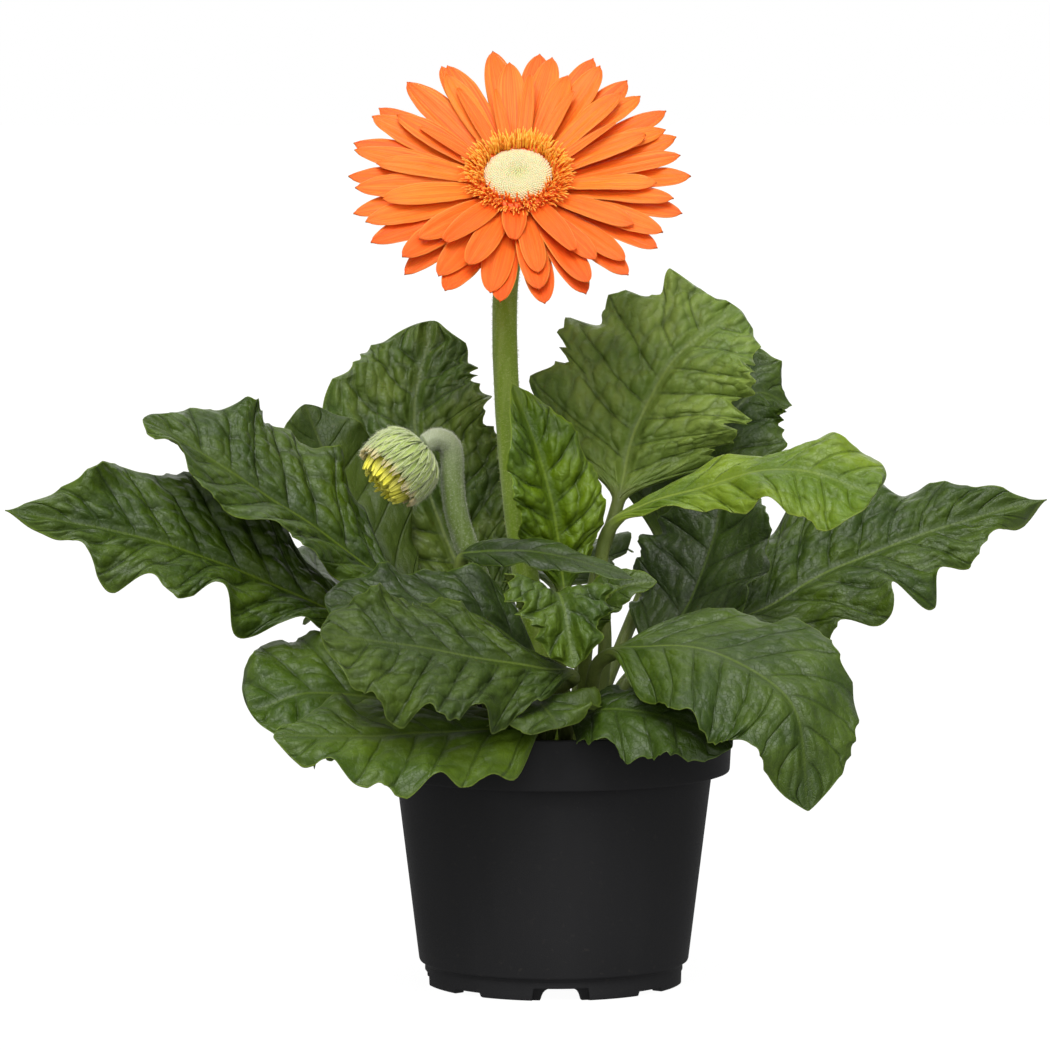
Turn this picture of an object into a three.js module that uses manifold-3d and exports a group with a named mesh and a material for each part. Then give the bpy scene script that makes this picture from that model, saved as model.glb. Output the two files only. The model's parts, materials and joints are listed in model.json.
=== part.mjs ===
// A gerbera in a 12 cm grower's pot: pot, root ball, open flower, nodding bud and a rosette
// of lobed leaves. Millimetres, +Z up. The pot stands on z = 0, and the whole plant is moved
// at the end so that the middle of its bounding box lies over the origin.
import * as THREE from 'three';
import { mergeVertices } from 'three/addons/utils/BufferGeometryUtils.js';
import Module from 'manifold-3d';

const wasm = await Module();
wasm.setup();

// ---- Driving dimensions ----
const GAP = 0.35;

const POT = {
  rimRadius: 60, rimTop: 88.5, rimBottom: 71.5, rimTaper: 0.9, lip: 1.4, wall: 1.5, chamfer: 0.8,
  bodyTopRadius: 53.2, bodyBottomRadius: 45.3, footTop: 7, footRadius: 43.4, footWidth: 4,
  baseBottom: 4.6, baseTop: 6.2, sides: 32,
  notches: [{ width: 19, height: 4, turn: -87 }, { width: 12, height: 1.4, turn: -42 }],
  drain: { radius: 4, ring: 27, count: 6, sides: 8 },
};
const SOIL = { top: 79, dome: 1.2, sides: 20, holeSides: 5 };
const ROOT_DEPTH = 10;
const ROOT_TOP = SOIL.top + 1.5;

// The flower's own frame has its disc on z = 0 and looks along +z. It is tilted about X.
const FLOWER = {
  centre: [-12, 0, 270], tilt: 45, hubRadius: 14, hubTop: -0.95,
  cupTop: -5.4, cupBottom: -18, neckRadius: 4.4, cupRadius: 13,
};
const DISC = { radius: 11.4, height: 3, ridges: 12, relief: 0.3, sides: 24 };
const FRINGE = {
  inner: 11.8, outer: 15, height: 1.3, count: 30, length: 5, tip: 0.3, root: 0.8, lean: [15, 55],
};
// Three layers of petals. rise = how steeply they stand, in degrees; columns = where a petal's
// corners lie over its half width, the lowest layer being flat because it is hidden most.
// BACK = how much longer and steeper a petal is on the side that the tilted head holds up.
const PETALS = [
  { count: 22, length: 58.5, half: 4.8, root: -4.5, rise: 4.2, columns: [-1, 1] },
  { count: 20, length: 56, half: 4.6, root: -3.5, rise: 6, columns: [-1, 0, 1] },
  { count: 14, length: 48, half: 4.2, root: -2.5, rise: 8.5, columns: [-1, 0, 1] },
];
const BACK = { length: 2, rise: 2.4 };
const PETAL = {
  start: 9, thickness: 0.7, channel: 0.6, arch: 1.6, claw: 0.18, widest: 0.65, end: 0.37,
  shorter: 3, steps: [0, 0.3, 0.62, 0.88, 1],
};
const SCAPE = {
  radius: 4.6, taper: 0.8, steps: 11,
  path: [[0, 2, ROOT_TOP], [-5, 4, 110], [-11, 6, 147], [-15, 8, 185], [-16.5, 12, 222], [-15, 17, 243]],
};
const BUD = {
  neck: [-43.5, -12.5, 181.5], facing: [-0.72, -0.25, -0.64], radius: 11.6, depth: 14,
  florets: { outer: 16, inner: 8, length: 5.5, radius: 10.6, tip: 0.6, root: 1.2 },
};
const BUD_SCAPE = {
  radius: 3.9, taper: 0.8, steps: 14,
  path: [[-9, -2, ROOT_TOP], [-18, -5, 115], [-27.5, -8.5, 143], [-32.4, -9.6, 158], [-33.8, -9.4, 169],
    [-34, -9.2, 178.2], [-35.5, -9.7, 182.1], [-39.2, -11, 183.7]],
};

// Each leaf: root = [distance from the pot's axis, azimuth]; upright = its stalk doesn't face
// the pot's axis as the others do; stalk and blade = points of the midrib; face = direction
// that the upper side looks in at the blade's base and at its tip; half = [left, right] half
// width; rise and tip = how slowly it widens and how sharply it ends; fold = rise of the
// margins over the half width; ruffle = height of the margin's waves; phase = where the waves
// start; lobe = depth of the notches between lobes, over the half width; hang = how far the
// lobes' ends bend down. fold, lobe and hang may be [left, right] pairs.
const LEAVES = {
  leaf_far_left: {
    root: [22.5, 185], stalk: [[-32, -14, 99]],
    blade: [[-60, -25, 120], [-100, -39, 141], [-140, -52, 155], [-178, -62, 164]],
    face: [[0.1, -0.6, 0.8], [0, -0.7, 0.7]], half: [27, 32], rise: 0.95, tip: 1.2,
    fold: 0.25, ruffle: 5, phase: 0.4, lobe: [0.3, 0.14], hang: [5, 0],
  },
  leaf_upper_left: {
    root: [17, 190], stalk: [[-28, -13, 108]],
    blade: [[-48, -18, 131], [-78, -30, 155], [-106, -36, 175], [-135, -34, 192]],
    face: [[0.35, -0.6, 0.7], [0.3, -0.6, 0.7]], half: [23, 32], tip: 0.65,
    fold: [0.4, 0.1], ruffle: 4, phase: 1.2, lobe: 0.08,
  },
  leaf_back_left_low: {
    root: [15, 160], stalk: [[-26, 14, 105]],
    blade: [[-46, 20, 126], [-64, 29, 150], [-77, 37, 173], [-85, 43, 192]],
    face: [[0.5, -0.7, 0.4], [0.4, -0.8, 0.4]], half: [24, 22], tip: 0.7,
    fold: 0.1, ruffle: 3, phase: 0, lobe: 0.06,
  },
  leaf_back_left_high: {
    root: [9.5, 118], stalk: [[-12, 22, 102]],
    blade: [[-20, 31, 116], [-37, 46, 146], [-48, 62, 184], [-42, 80, 219]],
    face: [[0, -0.9, 0.4], [-0.2, -0.8, 0.5]], half: [39, 33], rise: 0.4, tip: 0.6,
    fold: 0.1, ruffle: 4, phase: 2, lobe: 0.15,
  },
  leaf_young_right: {
    root: [9, -30], upright: true, stalk: [[2, -4, 106]],
    blade: [[3, -8, 130], [1, -11, 154], [-5, -12, 178], [-14, -10, 202]],
    face: [[0.2, -0.9, 0.3], [0.5, -0.8, 0.3]], half: [16, 17], rise: 0.8, tip: 0.9,
    fold: 0.3, ruffle: 2, phase: 0.5, lobe: 0.1,
  },
  leaf_back_right_high: {
    root: [9.5, 50], stalk: [[13, 26, 128]],
    blade: [[22, 33, 159], [28, 40, 184], [42, 50, 207], [64, 64, 224]],
    face: [[0, -0.9, 0.4], [-0.2, -0.8, 0.5]], half: [39, 36], rise: 0.3, tip: 0.5,
    fold: 0.1, ruffle: 4, phase: 0.8, lobe: 0.2,
  },
  leaf_back_right_far: {
    root: [15.5, 48], stalk: [[24, 32, 112]],
    blade: [[37, 50, 140], [52, 66, 168], [68, 80, 193], [84, 88, 189]],
    face: [[-0.2, -0.8, 0.5], [0.2, -0.7, 0.7]], half: [34, 24], rise: 0.45, tip: 1,
    fold: 0.1, ruffle: 4, phase: 1.5, lobe: 0.18,
  },
  leaf_right_mid: {
    root: [15, -22], stalk: [[17, -3, 112]],
    blade: [[18, -4, 152], [46, -16, 168], [78, -32, 175], [105, -43, 168]],
    face: [[-0.3, -0.4, 0.9], [0.3, -0.7, 0.6]], half: [18, 20], rise: 0.9, tip: 0.22,
    fold: -0.1, ruffle: 3, phase: 2.2, lobe: 0.1,
  },
  leaf_right_low: {
    root: [22, 14], stalk: [[32, 15, 96]],
    blade: [[58, 28, 115], [96, 42, 135], [134, 53, 149], [171, 62, 158]],
    face: [[-0.1, -0.65, 0.75], [0, -0.7, 0.7]], half: [32, 31], tip: 1.3,
    fold: 0.15, ruffle: 5, phase: 0.9, lobe: [0.08, 0.28], hang: [0, 7],
  },
  leaf_right_front: {
    root: [21, -55], stalk: [[12, -30, 100]],
    blade: [[18, -46, 115], [48, -68, 119], [75, -86, 104], [81, -94, 70]],
    face: [[0, -0.5, 0.9], [0.4, -0.85, 0.35]], half: [31, 30], tip: 0.8,
    fold: -0.1, ruffle: 3, phase: 0, lobe: 0.05,
  },
  leaf_right_inner: {
    root: [15.5, 18], stalk: [[22, 8, 97]],
    blade: [[31, 14, 107], [46, 24, 127], [55, 33, 148], [58, 42, 166]],
    face: [[-0.5, -0.7, 0.5], [-0.4, -0.8, 0.4]], half: [25, 27], rise: 0.45, tip: 0.6,
    fold: 0.2, ruffle: 3, phase: 1, lobe: 0.12,
  },
  leaf_front_left: {
    root: [14.5, -100], stalk: [[1, -33, 101]],
    blade: [[5, -52, 109], [-19, -69, 116], [-47, -81, 122], [-75, -88, 127]],
    face: [[0, -0.7, 0.75], [-0.1, -0.7, 0.75]], half: [29, 26], rise: 0.8, tip: 0.6,
    fold: -0.1, ruffle: 4, phase: 0.3, lobe: [0.16, 0.1], hang: [3, 0],
  },
  leaf_front_centre: {
    root: [21, -118], stalk: [[-10, -33, 95]],
    blade: [[-9, -45, 99], [-7, -57, 102], [-3, -69, 100], [1, -78, 95]],
    face: [[0, -0.6, 0.8], [0.2, -0.8, 0.5]], half: [20, 19], tip: 0.6,
    fold: -0.1, ruffle: 3, phase: 1.3, lobe: 0.12,
  },
  leaf_left_lower: {
    root: [21, -150], stalk: [[-30, -24, 93]],
    blade: [[-44, -38, 97], [-63, -51, 102], [-82, -59, 104], [-99, -65, 99]],
    face: [[0, -0.7, 0.75], [-0.1, -0.7, 0.7]], half: [27, 27], tip: 0.5,
    fold: -0.1, ruffle: 3, phase: 0, lobe: 0.08, hang: [1.5, 0],
  },
  leaf_left_bottom: {
    root: [21.5, -104], stalk: [[-5, -39, 90]],
    blade: [[-4, -54, 93.5], [-36, -74, 93], [-64, -87, 94], [-90, -93, 94]],
    face: [[0, -0.55, 0.85], [0, -0.55, 0.85]], half: [25, 25], rise: 0.45, tip: 0.7,
    fold: -0.1, ruffle: 3, phase: 2, lobe: 0.1, hang: [2, 0],
  },
  leaf_front_bottom: {
    root: [21.5, -82], stalk: [[4, -38, 89]],
    blade: [[5, -48, 95], [20, -63, 99], [39, -74, 97], [57, -80, 89]],
    face: [[0, -0.6, 0.8], [0.2, -0.7, 0.6]], half: [22, 20], tip: 0.7,
    fold: -0.1, ruffle: 3, phase: 1, lobe: 0.16,
  },
  leaf_centre_flat: {
    root: [8.5, -100], upright: true, stalk: [[-22, -17, 116]],
    blade: [[-31, -18, 143], [-14, -29, 148], [6, -38, 146], [26, -44, 140]],
    face: [[-0.8, -0.3, 0.5], [0.2, -0.4, 0.9]], half: [7, 8], tip: 0.7,
    fold: -0.1, ruffle: 2, phase: 0, lobe: 0.1,
  },
  leaf_small_bright: {
    root: [9.5, 5], upright: true, stalk: [[10, -6, 102]],
    blade: [[11, -13, 116], [14, -17, 127], [22, -20, 135], [34, -21, 137]],
    face: [[-0.4, -0.8, 0.3], [-0.2, -0.7, 0.6]], half: [8, 8], tip: 0.7,
    fold: 0.1, ruffle: 1, phase: 0, lobe: 0.15,
  },
  leaf_young_curl: {
    root: [15, -75], stalk: [[2, -26, 106]],
    blade: [[-2, -36, 122], [0, -45, 135], [3, -58, 132], [6, -67, 113]],
    face: [[0, 0.7, 0.6], [0.1, -0.9, 0.45]], half: [19, 19], tip: 0.7,
    fold: 0.1, ruffle: 2.5, phase: 0.6, lobe: 0.26,
  },
  leaf_front_left_dark: {
    root: [14.5, -135], stalk: [[-8, -22, 98]],
    blade: [[-7, -29, 111], [-26, -41, 128], [-50, -48, 132], [-75, -53, 134]],
    face: [[0, -0.8, 0.6], [0, -0.7, 0.7]], half: [21, 18], rise: 0.4, tip: 0.5,
    fold: -0.1, ruffle: 3, phase: 1, lobe: 0.12,
  },
  leaf_right_under: {
    root: [21, -8], stalk: [[32, -2, 95]],
    blade: [[42, -5, 104], [58, -4, 112], [76, 1, 115], [92, 6, 110]],
    face: [[0, -0.6, 0.8], [0, -0.6, 0.8]], half: [13, 22], rise: 0.45, tip: 0.6,
    fold: -0.1, ruffle: 3, phase: 0, lobe: 0.15,
  },
  leaf_behind_right: {
    root: [21, 62], stalk: [[26, 40, 96]],
    blade: [[42, 64, 112], [56, 86, 122], [68, 108, 124], [76, 130, 116]],
    face: [[-0.2, -0.3, 0.9], [0.2, 0.3, 0.9]], half: [27, 27], tip: 0.7,
    fold: -0.1, ruffle: 4, phase: 0, lobe: 0.2,
  },
  leaf_behind_middle: {
    root: [20, 92], stalk: [[2, 44, 102]],
    blade: [[2, 72, 124], [2, 98, 138], [0, 122, 138], [-4, 144, 126]],
    face: [[0, -0.4, 0.9], [0, 0.3, 0.9]], half: [28, 28], tip: 0.7,
    fold: -0.1, ruffle: 4, phase: 1, lobe: 0.2,
  },
  leaf_behind_left: {
    root: [21, 120], stalk: [[-24, 42, 96]],
    blade: [[-42, 64, 110], [-56, 86, 118], [-66, 108, 118], [-74, 130, 108]],
    face: [[0.2, -0.3, 0.9], [-0.2, 0.3, 0.9]], half: [27, 27], tip: 0.7,
    fold: -0.1, ruffle: 4, phase: 2, lobe: 0.2,
  },
  leaf_left_behind: {
    root: [21.5, 150], stalk: [[-38, 20, 100]],
    blade: [[-62, 32, 120], [-88, 46, 134], [-112, 60, 142], [-134, 72, 142]],
    face: [[0.1, -0.3, 0.9], [-0.1, 0.1, 0.9]], half: [25, 25], tip: 0.8,
    fold: -0.1, ruffle: 3, phase: 0.5, lobe: 0.2,
  },
  leaf_right_behind: {
    root: [21.5, 34], stalk: [[36, 34, 98]],
    blade: [[60, 56, 116], [84, 76, 130], [106, 92, 137], [126, 106, 136]],
    face: [[0, -0.2, 1], [0.1, 0.2, 0.9]], half: [25, 25], tip: 0.8,
    fold: -0.1, ruffle: 3, phase: 0.5, lobe: 0.2,
  },
};

// ---- Leaf form, shared by all blades ----
const BLADE = {
  thickness: 0.9, columns: [-1, -0.5, 0, 0.5, 1], steps: 10, stalkSteps: 2, lobes: 5, rise: 0.6,
  waves: 2.5, stagger: 1.7, calm: 15, sweep: 0.3, blend: 0.16, rib: 1.4, ribTaper: 0.7,
  stalkRadius: 2.3, ribRadius: 0.5, leastHalf: 0.8, last: 0.985,
};

// ---- Small tools ----
const vector = ([x, y, z]) => new THREE.Vector3(x, y, z);
const radians = THREE.MathUtils.degToRad;
const mix = THREE.MathUtils.lerp;

function material(colour, roughness) {
  return new THREE.MeshStandardMaterial({ color: colour, roughness, metalness: 0 });
}

function mesh(name, geometry, look) {
  const piece = new THREE.Mesh(geometry, look);
  piece.name = name;
  return piece;
}

/** Merges shared corners, so that only positions are left. */
function closed(geometry) {
  const bare = geometry.clone();
  bare.deleteAttribute('normal');
  bare.deleteAttribute('uv');
  return mergeVertices(bare, 1e-4);
}

function solid(geometry) {
  const whole = closed(geometry);
  return new wasm.Manifold(new wasm.Mesh({
    numProp: 3,
    vertProperties: new Float32Array(whole.attributes.position.array),
    triVerts: new Uint32Array(whole.index.array),
  }));
}

function geometryOf(manifold) {
  const result = manifold.getMesh();
  const geometry = new THREE.BufferGeometry();
  geometry.setAttribute('position', new THREE.BufferAttribute(result.vertProperties, 3));
  geometry.setIndex(new THREE.BufferAttribute(result.triVerts, 1));
  return geometry;
}

const fuse = (parts) => geometryOf(parts.map(solid).reduce((whole, part) => whole.add(part)));

function cut(body, tools) {
  return geometryOf(tools.map(solid).reduce((left, tool) => left.subtract(tool), solid(body)));
}

/** Skins a row of rings, each with the same number of points, and closes both ends. The second
 *  half of a ring is the underside, whose quads are split along the same lines as the top's. */
function loft(rings) {
  const size = rings[0].length;
  const positions = rings.flat().flatMap((p) => [p.x, p.y, p.z]);
  const index = [];
  for (let i = 0; i + 1 < rings.length; i += 1) {
    for (let j = 0; j < size; j += 1) {
      const [a, b] = [i * size + j, i * size + (j + 1) % size];
      const [c, d] = [a + size, b + size];
      if (j < size / 2) index.push(a, d, c, a, b, d);
      else index.push(a, b, c, b, d, c);
    }
  }
  const last = (rings.length - 1) * size;
  for (let j = 0; j < size / 2 - 1; j += 1) {
    const [a, b, c, d] = [j, j + 1, size - 2 - j, size - 1 - j];
    index.push(a, c, b, a, d, c);
    index.push(last + a, last + b, last + c, last + a, last + c, last + d);
  }
  const geometry = new THREE.BufferGeometry();
  geometry.setAttribute('position', new THREE.Float32BufferAttribute(positions, 3));
  geometry.setIndex(index);
  return geometry;
}

/** A strap, such as a petal or a bract, that leaves the axis of a head. A station is the strap's
 *  distance from the axis, its height, its half width and how far its margins rise. */
function strap(stations, turn, thickness, columns = [-1, 1]) {
  const rings = stations.map(([r, z, half, lift], i) => {
    const [r0, z0] = stations[Math.max(0, i - 1)];
    const [r1, z1] = stations[Math.min(stations.length - 1, i + 1)];
    const normal = new THREE.Vector2(z0 - z1, r1 - r0).normalize();
    const row = (side) => columns.map((column) => {
      const c = side * column;
      const out = lift * c * c + side * thickness / 2;
      return new THREE.Vector3(r + normal.x * out, -c * half, z + normal.y * out);
    });
    return [...row(1), ...row(-1)];
  });
  return loft(rings).rotateZ(turn * 2 * Math.PI);
}

/** A slim three-sided floret whose root is on z = 0 and which leans away from the axis. */
function floret(length, tip, root, lean) {
  const needle = new THREE.CylinderGeometry(tip, root, length, 3, 1).rotateX(Math.PI / 2);
  return needle.translate(0, 0, length / 2).rotateY(radians(lean));
}

/** A seeded source of numbers between 0 and 1. */
function seeded(seed) {
  let state = seed;
  return () => {
    state = (state * 1664525 + 1013904223) % 4294967296;
    return state / 4294967296;
  };
}

function lathe(profile, sides) {
  const points = profile.map(([r, z]) => new THREE.Vector2(r, z));
  return closed(new THREE.LatheGeometry(points, sides).rotateX(Math.PI / 2));
}

// ---- Pot ----
function pot() {
  const p = POT;
  const bandRadius = p.rimRadius - p.rimTaper;
  const footInside = p.footRadius - p.footWidth;
  const body = lathe([
    [0, p.baseBottom], [footInside, p.baseBottom], [footInside, 0],
    [p.footRadius - p.chamfer, 0], [p.footRadius, p.chamfer], [p.footRadius, p.footTop - p.chamfer],
    [p.bodyBottomRadius, p.footTop], [p.bodyTopRadius, p.rimBottom],
    [bandRadius - p.chamfer, p.rimBottom], [bandRadius, p.rimBottom + p.chamfer],
    [p.rimRadius, p.rimTop - p.chamfer], [p.rimRadius - p.chamfer, p.rimTop],
    [p.rimRadius - p.chamfer - p.lip, p.rimTop], [bandRadius - p.wall, p.rimBottom + p.wall],
    [p.bodyTopRadius - p.wall, p.rimBottom], [p.bodyBottomRadius - p.wall, p.baseTop],
    [0, p.baseTop],
  ], p.sides);
  const tools = p.notches.flatMap(({ width, height, turn }) => [0, 90, 180, 270].map((quarter) => {
    const block = new THREE.BoxGeometry(5 * p.footWidth, width, 2 * height);
    return block.translate(p.footRadius, 0, 0).rotateZ(radians(turn + quarter));
  }));
  for (let i = 0; i < p.drain.count; i += 1) {
    const { radius, ring, count, sides } = p.drain;
    const drill = new THREE.CylinderGeometry(radius, radius, p.baseTop, sides).rotateX(Math.PI / 2);
    tools.push(drill.translate(ring, 0, p.baseTop).rotateZ(((i + 0.5) / count) * 2 * Math.PI));
  }
  return mesh('pot', cut(body, tools), material(0x1c1c1d, 0.55));
}

// ---- Stalks and stems ----
/** Place of a point of the ten round a stalk, in the order of a blade's ring. */
function roundOffset(u, side, radius) {
  const angle = radians(72 * u);
  return [radius * Math.sin(angle), side * radius * Math.cos(angle)];
}

function stemRing(centre, right, up, radius) {
  const ring = [];
  [1, -1].forEach((side) => {
    BLADE.columns.forEach((column) => {
      const [x, z] = roundOffset(side * column, side, radius);
      ring.push(centre.clone().addScaledVector(right, x).addScaledVector(up, z));
    });
  });
  return ring;
}

/** A fleshy stem that starts upright in the soil and follows its path to the head. */
function stem(path, radiusAt, steps) {
  const curve = new THREE.CatmullRomCurve3(path.map(vector), false, 'catmullrom', 0.5);
  const right = new THREE.Vector3(-1, 0, 0);
  const north = new THREE.Vector3(0, 1, 0);
  const foot = vector(path[0]);
  const rings = [stemRing(foot.clone().setZ(SOIL.top - ROOT_DEPTH), right, north, radiusAt(0))];
  rings.push(stemRing(foot, right, north, radiusAt(0)));
  for (let i = 1; i <= steps; i += 1) {
    const along = curve.getTangent(i / steps);
    const up = north.clone().addScaledVector(along, -north.dot(along)).normalize();
    const side = along.clone().cross(up).normalize();
    rings.push(stemRing(curve.getPoint(i / steps), side, up, radiusAt(i / steps)));
  }
  return loft(rings);
}

// ---- Leaves ----
function rootOf({ root: [distance, azimuth] }) {
  const angle = radians(azimuth);
  return [distance * Math.cos(angle), distance * Math.sin(angle), ROOT_TOP];
}

/** A value for both sides of a blade, or one of its [left, right] pair. */
const ofSide = (value, u) => [value].flat().at(u > 0 ? -1 : 0);

/** 1 in the middle of a bay between two lobes, 0 at the end of a lobe. */
const bay = (v) => 0.5 + 0.5 * Math.cos(2 * Math.PI * BLADE.lobes * v);

/** Half width of the blade over its length: narrow base, widest past the middle, lobed. */
function halfWidth(leaf, v, side) {
  const rise = leaf.rise ?? BLADE.rise;
  const peak = rise / (rise + leaf.tip);
  const form = (x) => x ** rise * (1 - x) ** leaf.tip;
  const lobed = 1 - ofSide(leaf.lobe, side) * bay(v);
  return ofSide(leaf.half, side) * (form(v) / form(peak)) * lobed;
}

/** Height of the blade over its midrib plane: folded along the rib, with waved margins. */
function bladeHeight(leaf, u, v, half) {
  const start = leaf.phase + (u > 0 ? BLADE.stagger : 0);
  const wave = Math.sin(2 * Math.PI * BLADE.waves * v + start) * Math.min(1, half / BLADE.calm);
  const hang = ofSide(leaf.hang ?? 0, u) * Math.abs(u) ** 3 * (1 - bay(v));
  return ofSide(leaf.fold, u) * Math.abs(u) * half + leaf.ruffle * u * u * wave - hang;
}

function leafRing(leaf, centre, { along, right, up }, v) {
  const flat = THREE.MathUtils.smoothstep(v, 0, BLADE.blend);
  const radius = mix(BLADE.stalkRadius, BLADE.ribRadius, v);
  const ring = [];
  [1, -1].forEach((side) => {
    BLADE.columns.forEach((column) => {
      const u = side * column;
      const wide = v > 0 ? halfWidth(leaf, Math.min(v, BLADE.last), u) : 0;
      const half = Math.max(BLADE.leastHalf, wide);
      const rib = side < 0 && u === 0 ? BLADE.rib * (1 - BLADE.ribTaper * v) : 0;
      const height = bladeHeight(leaf, u, v, half) + side * BLADE.thickness / 2 - rib;
      const [roundX, roundZ] = roundOffset(u, side, radius);
      const point = centre.clone().addScaledVector(right, mix(roundX, u * half, flat));
      point.addScaledVector(up, mix(roundZ, height, flat));
      ring.push(point.addScaledVector(along, flat * BLADE.sweep * Math.abs(u) * half * (1 - v)));
    });
  });
  return ring;
}

/** One grown piece: the stalk rises from the soil and flattens into the lobed blade. */
function leafGeometry(leaf) {
  const foot = vector(rootOf(leaf));
  const points = [foot, ...leaf.stalk.map(vector), ...leaf.blade.map(vector)];
  const curve = new THREE.CatmullRomCurve3(points, false, 'catmullrom', 0.5);
  const bladeStart = (1 + leaf.stalk.length) / (points.length - 1);
  const faces = leaf.face.map(vector);
  const footFace = (leaf.upright ? faces[0].clone() : foot.clone().negate()).setZ(0).normalize();
  const frameAt = (along, face) => {
    const right = along.clone().cross(face).normalize();
    return { along, right, up: right.clone().cross(along) };
  };
  const footFrame = frameAt(new THREE.Vector3(0, 0, 1), footFace);
  const rings = [
    leafRing(leaf, foot.clone().setZ(SOIL.top - ROOT_DEPTH), footFrame, 0),
    leafRing(leaf, foot, footFrame, 0),
  ];
  for (let i = 1; i <= BLADE.stalkSteps; i += 1) {
    const share = i / BLADE.stalkSteps;
    const t = bladeStart * share;
    const frame = frameAt(curve.getTangent(t), footFace.clone().lerp(faces[0], share));
    rings.push(leafRing(leaf, curve.getPoint(t), frame, 0));
  }
  for (let i = 1; i <= BLADE.steps; i += 1) {
    const v = i / BLADE.steps;
    const t = mix(bladeStart, 1, v);
    const frame = frameAt(curve.getTangent(t), faces[0].clone().lerp(faces[1], v));
    rings.push(leafRing(leaf, curve.getPoint(t), frame, v));
  }
  return loft(rings);
}

// ---- Soil ----
/** The root ball fills the pot, with a plain hole for every stalk. */
function soil(holes) {
  const p = POT;
  const inside = (r) => (r - p.wall) * Math.cos(Math.PI / p.sides) - GAP;
  const bandInside = inside(p.rimRadius - p.rimTaper);
  const ball = lathe([
    [0, p.baseTop + GAP], [inside(p.bodyBottomRadius), p.baseTop + GAP],
    [inside(p.bodyTopRadius), p.rimBottom + GAP], [bandInside, p.rimBottom + p.wall + 2 * GAP],
    [bandInside, SOIL.top - SOIL.dome], [0.7 * bandInside, SOIL.top],
    [0.4 * bandInside, SOIL.top + 0.6 * SOIL.dome], [0, SOIL.top + SOIL.dome],
  ], SOIL.sides);
  const drills = holes.map(([x, y, radius]) => {
    const corner = (radius + GAP) / Math.cos(Math.PI / SOIL.holeSides);
    const long = 3 * ROOT_DEPTH;
    const drill = new THREE.CylinderGeometry(corner, corner, long, SOIL.holeSides);
    return drill.rotateX(Math.PI / 2).translate(x, y, SOIL.top - ROOT_DEPTH - GAP + long / 2);
  });
  return mesh('soil', cut(ball, drills), material(0x2a2019, 0.95));
}

// ---- Flower ----
/** Half width of a petal over its length: a thin claw that swells, then a round end. */
function petalWidth(v) {
  const { claw, widest, end } = PETAL;
  if (v < widest) return mix(claw, 1, Math.sin((v / widest) * Math.PI / 2) ** 1.3);
  return Math.sqrt(1 - ((v - widest) / end) ** 2);
}

/** Petals in three layers, all rooted in one hub. */
function rayFlorets() {
  const random = seeded(7);
  const spread = (range) => (2 * random() - 1) * range;
  const { hubRadius, hubTop, cupTop } = FLOWER;
  const height = hubTop - cupTop - GAP;
  const hub = new THREE.CylinderGeometry(hubRadius, hubRadius, height, 24).rotateX(Math.PI / 2);
  const parts = [hub.translate(0, 0, hubTop - height / 2)];
  PETALS.forEach((layer, row) => {
    for (let i = 0; i < layer.count; i += 1) {
      const [shorter, steeper, shift] = [PETAL.shorter * random(), spread(0.6), spread(0.08)];
      const turn = (i + 0.37 * row + shift) / layer.count;
      const back = Math.max(0, Math.sin(2 * Math.PI * turn));
      const length = layer.length - shorter + BACK.length * back;
      const slope = Math.tan(radians(layer.rise + steeper + BACK.rise * back));
      const stations = PETAL.steps.map((v) => {
        const r = mix(PETAL.start, length, v);
        const arch = PETAL.arch * Math.sin(0.9 * Math.PI * v) * v;
        const channel = PETAL.channel * Math.sin(Math.PI * Math.min(1, v + 0.05));
        return [r, layer.root + slope * (r - PETAL.start) + arch, layer.half * petalWidth(v), channel];
      });
      parts.push(strap(stations, turn, PETAL.thickness, layer.columns));
    }
  });
  return mesh('ray_florets', fuse(parts), material(0xf06a18, 0.55));
}

/** A ring of small upright florets, splayed outwards, round the disc. */
function fringeFlorets() {
  const { inner, outer, height, count, length, tip, root, lean } = FRINGE;
  const bottom = FLOWER.hubTop + GAP;
  const random = seeded(11);
  const parts = [lathe([
    [inner, bottom], [outer - 0.5, bottom], [outer, bottom + 0.6], [(inner + outer) / 2, height],
    [inner, height - 0.4], [inner, bottom],
  ], 18)];
  for (let i = 0; i < count; i += 1) {
    const needle = floret(length * (0.8 + 0.4 * random()), tip, root, mix(...lean, random()));
    const r = mix(inner + root + 0.3, outer - 1, random());
    parts.push(needle.translate(r, 0, 0).rotateZ((i / count) * 2 * Math.PI));
  }
  return mesh('fringe_florets', fuse(parts), material(0xf0903c, 0.6));
}

/** The domed disc of closed florets, in low relief. */
function discFlorets() {
  const bottom = FLOWER.hubTop + GAP;
  const { radius, height, ridges, relief, sides } = DISC;
  const dome = lathe([
    [0, bottom], [radius, bottom], [radius, height * 0.45], [radius * 0.9, height * 0.8],
    [radius * 0.68, height * 0.96], [radius * 0.42, height], [radius * 0.18, height * 0.9],
    [0, height * 0.85],
  ], sides);
  const place = dome.attributes.position;
  for (let i = 0; i < place.count; i += 1) {
    const [x, y, z] = [place.getX(i), place.getY(i), place.getZ(i)];
    const far = Math.hypot(x, y);
    const bump = relief * Math.cos(ridges * Math.atan2(y, x)) * Math.sin(1.9 * far) * (far / radius);
    if (z > 0) place.setZ(i, z + bump);
  }
  return mesh('disc_florets', dome, material(0xe9e2a4, 0.8));
}

/** A cup with rows of pointed bracts. A row's line holds each bract's distance from the axis,
 *  its height as a share of the cup's and its half width, from root to tip. */
function bractCup(cup, bottom, top, rows, lift) {
  const parts = [cup];
  rows.forEach(({ count, turn, line }) => {
    const stations = line.map(([r, share, half]) => [r, mix(bottom, top, share), half, lift]);
    for (let i = 0; i < count; i += 1) parts.push(strap(stations, (i + turn) / count, 0.8));
  });
  return fuse(parts);
}

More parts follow.
